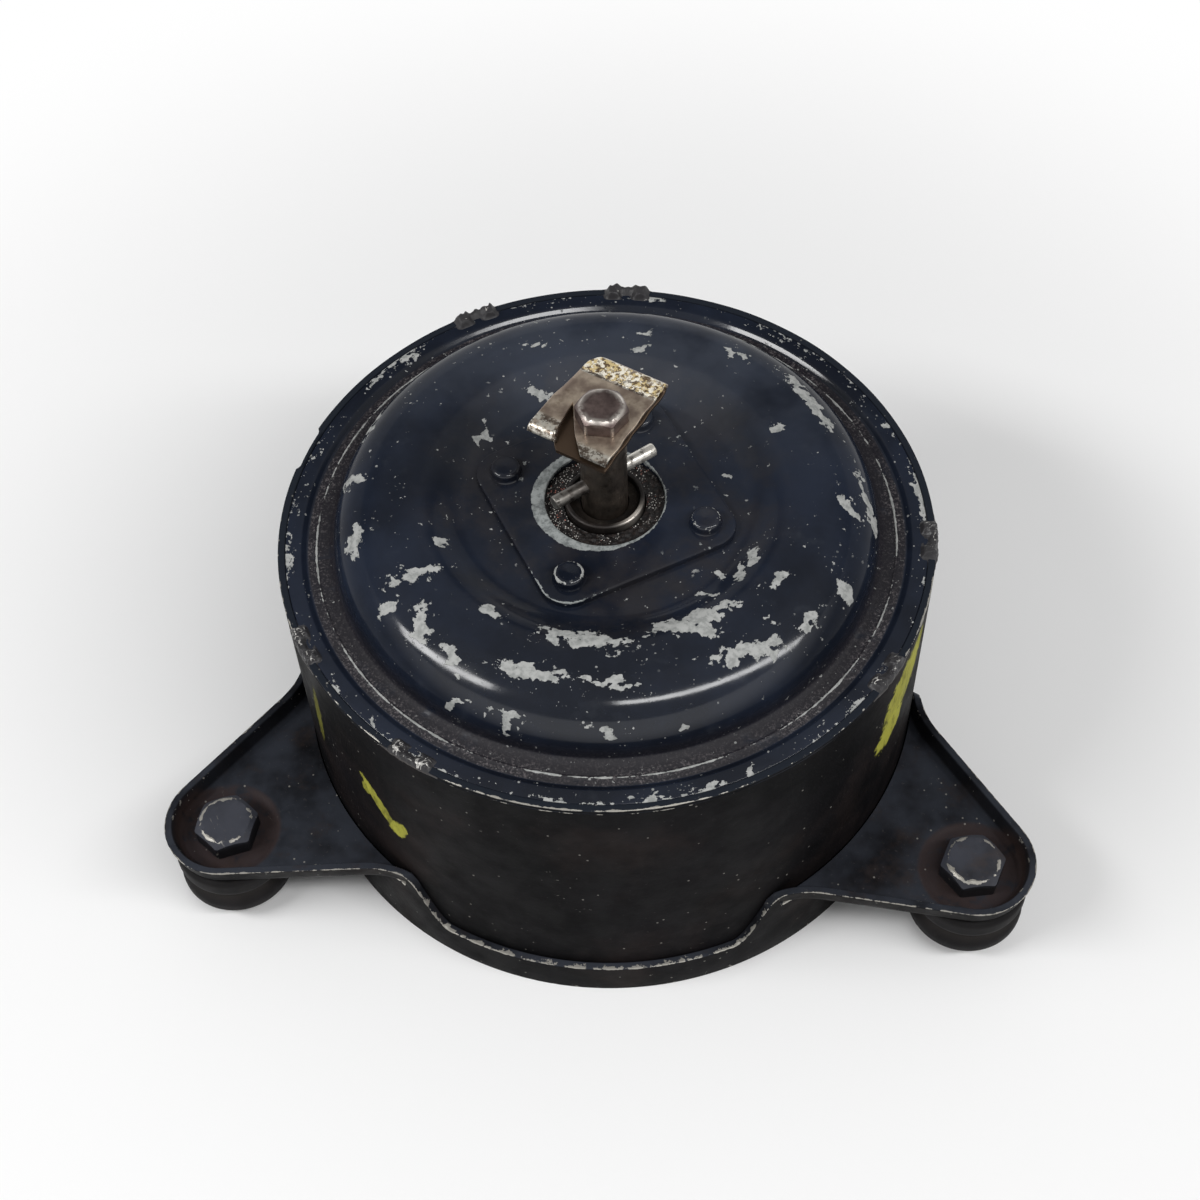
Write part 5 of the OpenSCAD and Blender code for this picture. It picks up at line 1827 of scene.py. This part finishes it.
@dataclass
class FanClip:
    """The folded spring clip under the small bolt.

    Its own frame has L along the clip to its fold and W to its right. A leaf is a
    flat strip carried along a path in L and height, between a left and a right
    edge that are given along the path. The corner lists L and W where the left
    edge runs round to the fold.
    """

    turn: float = 63.5
    sheet: float = 0.9
    bevel: float = 0.12
    top: float = CLIP_TOP
    gap: float = 1.3
    apex: float = 0.8
    fold_from: float = 13.2
    corner: Tuple[Tuple[float, ...], Tuple[float, ...]] = (
        (11.5, 12.6, 13.4, 14.0, 14.6, 15.2), (-10.8, -10.6, -10.1, -9.5, -8.6, -7.4))

    @property
    def leaf_z(self) -> float:
        """Height of the middle of the upper leaf's sheet."""
        return self.top - self.sheet / 2

    def strip(self, path: Array, left: Array, right: Array) -> Tuple[Array, Array]:
        """A strip of sheet along a path, turned to the clip's place on the shaft.

        Each section is a thin rectangle across the path, whose two faces stand
        half the sheet's thickness off it along the path's normal. Its four edges
        are bevelled.

        Args:
            path: Rows of L, height and wear, through the middle of the sheet.
            left: W of the left edge at each row.
            right: W of the right edge at each row.

        Returns:
            The grid and its wear.
        """
        along = np.gradient(path[:, :2], axis=0)
        along /= np.linalg.norm(along, axis=1)[:, None]
        normal = np.column_stack([-along[:, 1], along[:, 0]]) * self.sheet / 2
        e, line = self.bevel, np.linspace(0, 1, 14)[1:-1]
        base = np.concatenate([[0, 0], line, [1, 1], [1, 1], line[::-1], [0, 0]])
        offset = np.concatenate([[0, e], 0 * line, [-e, 0], [0, -e], 0 * line, [e, 0]])
        low = 1 - 2 * e / self.sheet
        upper = np.concatenate([[low, 1], 0 * line + 1, [1, low]])
        face = np.concatenate([upper, -upper])
        across = left[:, None] + (right - left)[:, None] * base[None, :] + offset[None, :]
        place = path[:, None, :2] + normal[:, None, :] * face[None, :, None]
        grid = np.stack([place[..., 0], -across, place[..., 1]], axis=-1)
        wear = np.broadcast_to(path[:, 2][:, None], grid.shape[:2])
        return turned(grid, self.turn), wear

    def leaves(self) -> Tuple[Array, Array]:
        """The lower leaf, the fold, the upper leaf and the right prong, in one strip.

        Returns:
            The grid and its wear.
        """
        low_z = self.leaf_z - self.sheet - self.gap
        bend = (self.leaf_z - low_z) / 2
        ahead = np.linspace(-10.3, self.fold_from, 22)
        lower = np.column_stack([ahead, 0 * ahead + low_z, 0 * ahead])
        fold = arc(self.fold_from + 0.7, (self.leaf_z + low_z) / 2, bend * 1.1, -90, 90, 18)
        fold = np.column_stack([fold, 0.62 * smooth((np.linspace(0, 1, 18) - 0.72) / 0.15)])
        back = np.linspace(self.fold_from, self.apex, 20)
        upper = np.column_stack([back, np.full(20, self.leaf_z), 0.62 * smooth((back - 8.6) / 1.8)])
        front = np.linspace(self.apex, -10.2, 18)
        prong = np.column_stack([front, self.leaf_z - 0.25 * smooth((-7 - front) / 3.5),
                                 0.1 + 0.2 * smooth((-6.5 - front) / 2.5)])
        path = np.concatenate([lower, fold, upper, prong])
        at, edge = (list(row) for row in self.corner)
        left = np.concatenate([
            np.interp(lower[:, 0], [-10.4, -8.6, 2.0] + at, [-4.8, -6.6, -9.6] + edge),
            np.interp(fold[:, 0], at, edge),
            np.interp(back, [self.apex, 4, 8] + at, [-12.2, -11.6, -11.1] + edge),
            np.interp(-front, [-self.apex, 6.2, 10.2], [-7.5, -2.8, 0.8])])
        ripple = 0.12 * np.sin(path[:, 0] * 0.9)
        below = np.arange(len(path)) < len(lower) + len(fold) // 2
        return self.strip(path, left, 6.85 + np.where(below, -0.15 - ripple, ripple))

    def left_prong(self) -> Tuple[Array, Array]:
        """The left prong, flat and then bent down.

        Returns:
            The grid and its wear.
        """
        along = np.linspace(self.apex, -7.2, 14)
        flat = np.column_stack([along, np.full(14, self.leaf_z),
                                0.05 + 0.25 * smooth((-3.0 - along) / 3)])
        tip = arc(along[-1], self.leaf_z - 1.3, 1.3, 90, 188, 14)[1:]
        prong = np.concatenate([flat, np.column_stack([tip, np.full(13, 0.3)])])
        reach = np.linspace(0, 1, len(prong))
        return self.strip(prong, -12.2 - 0.6 * reach, -7.5 + 1.7 * reach)

    def build(self) -> bpy.types.Object:
        """The clip: its leaves and its left prong.

        Returns:
            The piece.
        """
        skin = Skin("fan_clip_sheet")
        for grid, wear in (self.leaves(), self.left_prong()):
            skin.add(grid, wear=wear)
        piece = skin.piece(ROTOR, Look.ZINC.value, 50.0)
        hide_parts("fan_clip")
        return piece


@dataclass
class InnerPieces:
    """CAD nodes that keep their own shape and get their finish here."""

    looks: Tuple[Tuple[str, Look], ...] = (
        ("front_oil_felt", Look.FELT), ("dust_felt", Look.BLACK_FELT), ("rear_bush", Look.BRONZE),
        ("rear_bush_retainer", Look.CLEAN_STEEL), ("rear_oil_felt", Look.FELT),
        ("thrust_pad", Look.NYLON), ("thrust_washers", Look.NYLON),
        ("field_magnets", Look.FERRITE), ("brush_plate", Look.BOARD),
        ("brush_plate_posts", Look.CLEAN_STEEL), ("brush_boxes", Look.BRASS),
        ("brush_spring_1", Look.CLEAN_STEEL), ("brush_spring_2", Look.CLEAN_STEEL),
        ("brush_spring_3", Look.CLEAN_STEEL), ("brush_spring_4", Look.CLEAN_STEEL),
        ("brush_1", Look.CARBON), ("brush_2", Look.CARBON), ("brush_3", Look.CARBON),
        ("brush_4", Look.CARBON), ("lead_grommet", Look.RUBBER),
        ("mount_upper_inserts", Look.CLEAN_STEEL), ("mount_lower_inserts", Look.CLEAN_STEEL),
        ("armature_core", Look.LAMINATIONS), ("armature_winding", Look.COPPER),
        ("commutator", Look.COPPER), ("commutator_hub", Look.BOARD))

    def dress(self, nodes: dict) -> int:
        """Gives each node its material.

        Args:
            nodes: The frame's nodes by name.

        Returns:
            The number of nodes that were dressed.
        """
        for name, look in self.looks:
            slots = nodes[name].data.materials
            slots.clear()
            slots.append(look.value.material())
        return len(self.looks)


# The studio


def outward(azimuth: float, elevation: float) -> Tuple[Array, Array]:
    """Which way a camera or lamp stands, seen from the motor.

    Args:
        azimuth: Angle round the shaft from +X, in degrees.
        elevation: Angle above the level, in degrees.

    Returns:
        The direction out to it, and the level one to its right as it looks back.
    """
    a, e = math.radians(azimuth), math.radians(elevation)
    out = np.array([math.cos(e) * math.cos(a), math.cos(e) * math.sin(a), math.sin(e)])
    return out, np.array([-math.sin(a), math.cos(a), 0.0])


def stand(name: str, data: bpy.types.ID, axes: Array, place: Array) -> bpy.types.Object:
    """Adds a camera or a lamp to the scene.

    Args:
        name: Name of the object.
        data: Its camera's or its lamp's own values.
        axes: Its three axes, as the columns of an array.
        place: Where it stands, in metres.

    Returns:
        The object.
    """
    matrix = np.eye(4)
    matrix[:3, :3], matrix[:3, 3] = axes, place
    placed = bpy.data.objects.new(name, data)
    placed.matrix_world = Matrix(matrix.tolist())
    bpy.context.scene.collection.objects.link(placed)
    return placed


@dataclass
class PhotoCamera:
    """The camera, solved from the rim's ellipse and the ears.

    It stands off the middle of the drum's rim at a distance, turned round the
    shaft by an azimuth, and looks down at an elevation. Three small angles then
    aim it beside the middle and tilt it.
    """

    rim_z: float = DRUM_HEIGHT
    distance: float = 450.1
    elevation: float = 52.03
    azimuth: float = -84.3
    yaw: float = -0.0041
    pitch: float = -0.036
    roll: float = -0.0411
    lens: float = 61.47
    sensor: float = 36.0

    def add(self) -> bpy.types.Object:
        """Adds the camera and makes it the scene's.

        Returns:
            The camera.
        """
        out, right = outward(self.azimuth, self.elevation)
        up = np.cross(right, -out)
        ahead = -out + math.tan(self.yaw) * right + math.tan(self.pitch) * up
        ahead /= np.linalg.norm(ahead)
        r = np.cross(ahead, [0.0, 0.0, 1.0])
        r /= np.linalg.norm(r)
        u = np.cross(r, ahead)
        c, s = math.cos(self.roll), math.sin(self.roll)
        place = out * self.distance + np.array([0, 0, self.rim_z])
        axes = np.column_stack([c * r + s * u, -s * r + c * u, -ahead])
        data = bpy.data.cameras.new("photo_camera")
        data.lens, data.sensor_width, data.sensor_fit = self.lens, self.sensor, "HORIZONTAL"
        data.clip_start, data.clip_end = 0.01, 20.0
        camera = stand("photo_camera", data, axes, place * MM)
        bpy.context.scene.camera = camera
        return camera


@dataclass(frozen=True)
class Lamp:
    """One soft rectangular lamp that faces the motor.

    Its place is given by azimuth, elevation and distance from a point over the
    base, and its long side by a roll about the line to that point.
    """

    name: str
    azimuth: float
    elevation: float
    distance: float
    long: float
    short: float
    power: float
    roll: float = 0.0
    aim_z: float = 0.06

    def add(self) -> None:
        """Adds the lamp to the scene."""
        out, side = outward(self.azimuth, self.elevation)
        up = np.cross(out, side)
        c, s = math.cos(math.radians(self.roll)), math.sin(math.radians(self.roll))
        data = bpy.data.lights.new(self.name, "AREA")
        data.shape, data.size, data.size_y = "RECTANGLE", self.long, self.short
        data.energy = self.power
        axes = np.column_stack([c * side + s * up, -s * side + c * up, out])
        stand(self.name, data, axes, out * self.distance + np.array([0, 0, self.aim_z]))


@dataclass
class Studio:
    """A pale floor that sweeps up into a round wall, soft lamps and a plain world."""

    flat: float = 1.9
    wall: float = 2.6
    height: float = 1.4
    fill: float = 0.33
    lamps: Tuple[Lamp, ...] = (
        Lamp("left_window", -157, 42.6, 1.0, 0.55, 0.18, 5.0, 32.7),
        Lamp("right_strip", -32.8, 51.4, 1.017, 1.08, 0.13, 6.2, -41.2))

    def sweep(self) -> bpy.types.Object:
        """The floor and wall: a flat, a quarter of a circle and an upright, carried round Z.

        Returns:
            The floor.
        """
        bend = self.wall - self.flat
        outline = np.concatenate([np.column_stack([np.linspace(0, self.flat, 12), np.zeros(12)]),
                                  arc(self.flat, bend, bend, -90, 0, 16)[1:],
                                  [[self.wall, self.height]]])
        grid = revolve(outline, 96)[0]
        upwards = quads(*grid.shape[:2])[:, [0, 3, 2, 1]]
        mesh = bpy.data.meshes.new("studio_floor")
        mesh.from_pydata(grid.reshape(-1, 3), [], upwards)
        work = bmesh.new()
        work.from_mesh(mesh)
        bmesh.ops.remove_doubles(work, verts=work.verts, dist=1e-6)
        work.to_mesh(mesh)
        work.free()
        mesh.shade_smooth()
        mesh.materials.append(self.floor_material())
        floor = bpy.data.objects.new("studio_floor", mesh)
        bpy.context.scene.collection.objects.link(floor)
        return floor

    def floor_material(self) -> bpy.types.Material:
        """Pale matt paint near the motor, where its shadow lies, that goes over to white.

        The white is what the camera, mirrors and glass see. It adds no light.

        Returns:
            The material.
        """
        g = Graph("studio_floor")
        g.set(Base_Color=g.mix(g.noise(400, 2, 0.5), (0.88, 0.88, 0.88), (0.92, 0.92, 0.92)))
        g.set(Roughness=0.95)
        g.set(Specular_IOR_Level=0.1)
        path = g.tree.nodes.new("ShaderNodeLightPath")
        seen = g.largest(path.outputs["Is Camera Ray"], path.outputs["Is Glossy Ray"])
        seen = g.largest(seen, path.outputs["Is Transmission Ray"])
        white = g.tree.nodes.new("ShaderNodeEmission")
        mixed = g.tree.nodes.new("ShaderNodeMixShader")
        g.put(mixed.inputs[0], g.times(seen, g.band(g.radius(), 0.13, 0.32)))
        g.tree.links.new(g.shader.outputs[0], mixed.inputs[1])
        g.tree.links.new(white.outputs[0], mixed.inputs[2])
        g.tree.links.new(mixed.outputs[0], g.out.inputs[0])
        return g.material

    def build(self) -> None:
        """Adds the floor, the lamps and the world."""
        scene = bpy.context.scene
        scene.view_settings.view_transform = "Standard"
        scene.world = bpy.data.worlds.new("studio_world")
        scene.world.use_nodes = True
        plain = scene.world.node_tree.nodes["Background"]
        plain.inputs[0].default_value, plain.inputs[1].default_value = (1, 1, 1, 1), self.fill
        self.sweep()
        for lamp in self.lamps:
            lamp.add()


def main() -> None:
    """Builds the motor on its frame, sub-assembly by sub-assembly."""
    logging.basicConfig(level=logging.INFO, format="%(name)s: %(message)s")
    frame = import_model()
    drum, cover, plate, bearing = PressedDrum(), FrontCover(), BearingPlate(), FrontBearing()
    hardware, shaft_end = EarHardware(), ShaftEnd()
    steps = (drum.shell, drum.staked_lips, cover.build, plate.plate, plate.rivets, bearing.bush,
             bearing.ring, EaredBracket().build, hardware.bolts, hardware.mounts, shaft_end.shaft,
             shaft_end.cross_pin, shaft_end.clip_bolt, FanClip().build)
    for step in steps:
        piece = step()
        log.info("%s: %d faces", piece.name, len(piece.data.polygons))
    log.info("dressed %d nodes", InnerPieces().dress(frame["nodes"]))
    PhotoCamera().add()
    Studio().build()


if __name__ == "__main__":
    main()
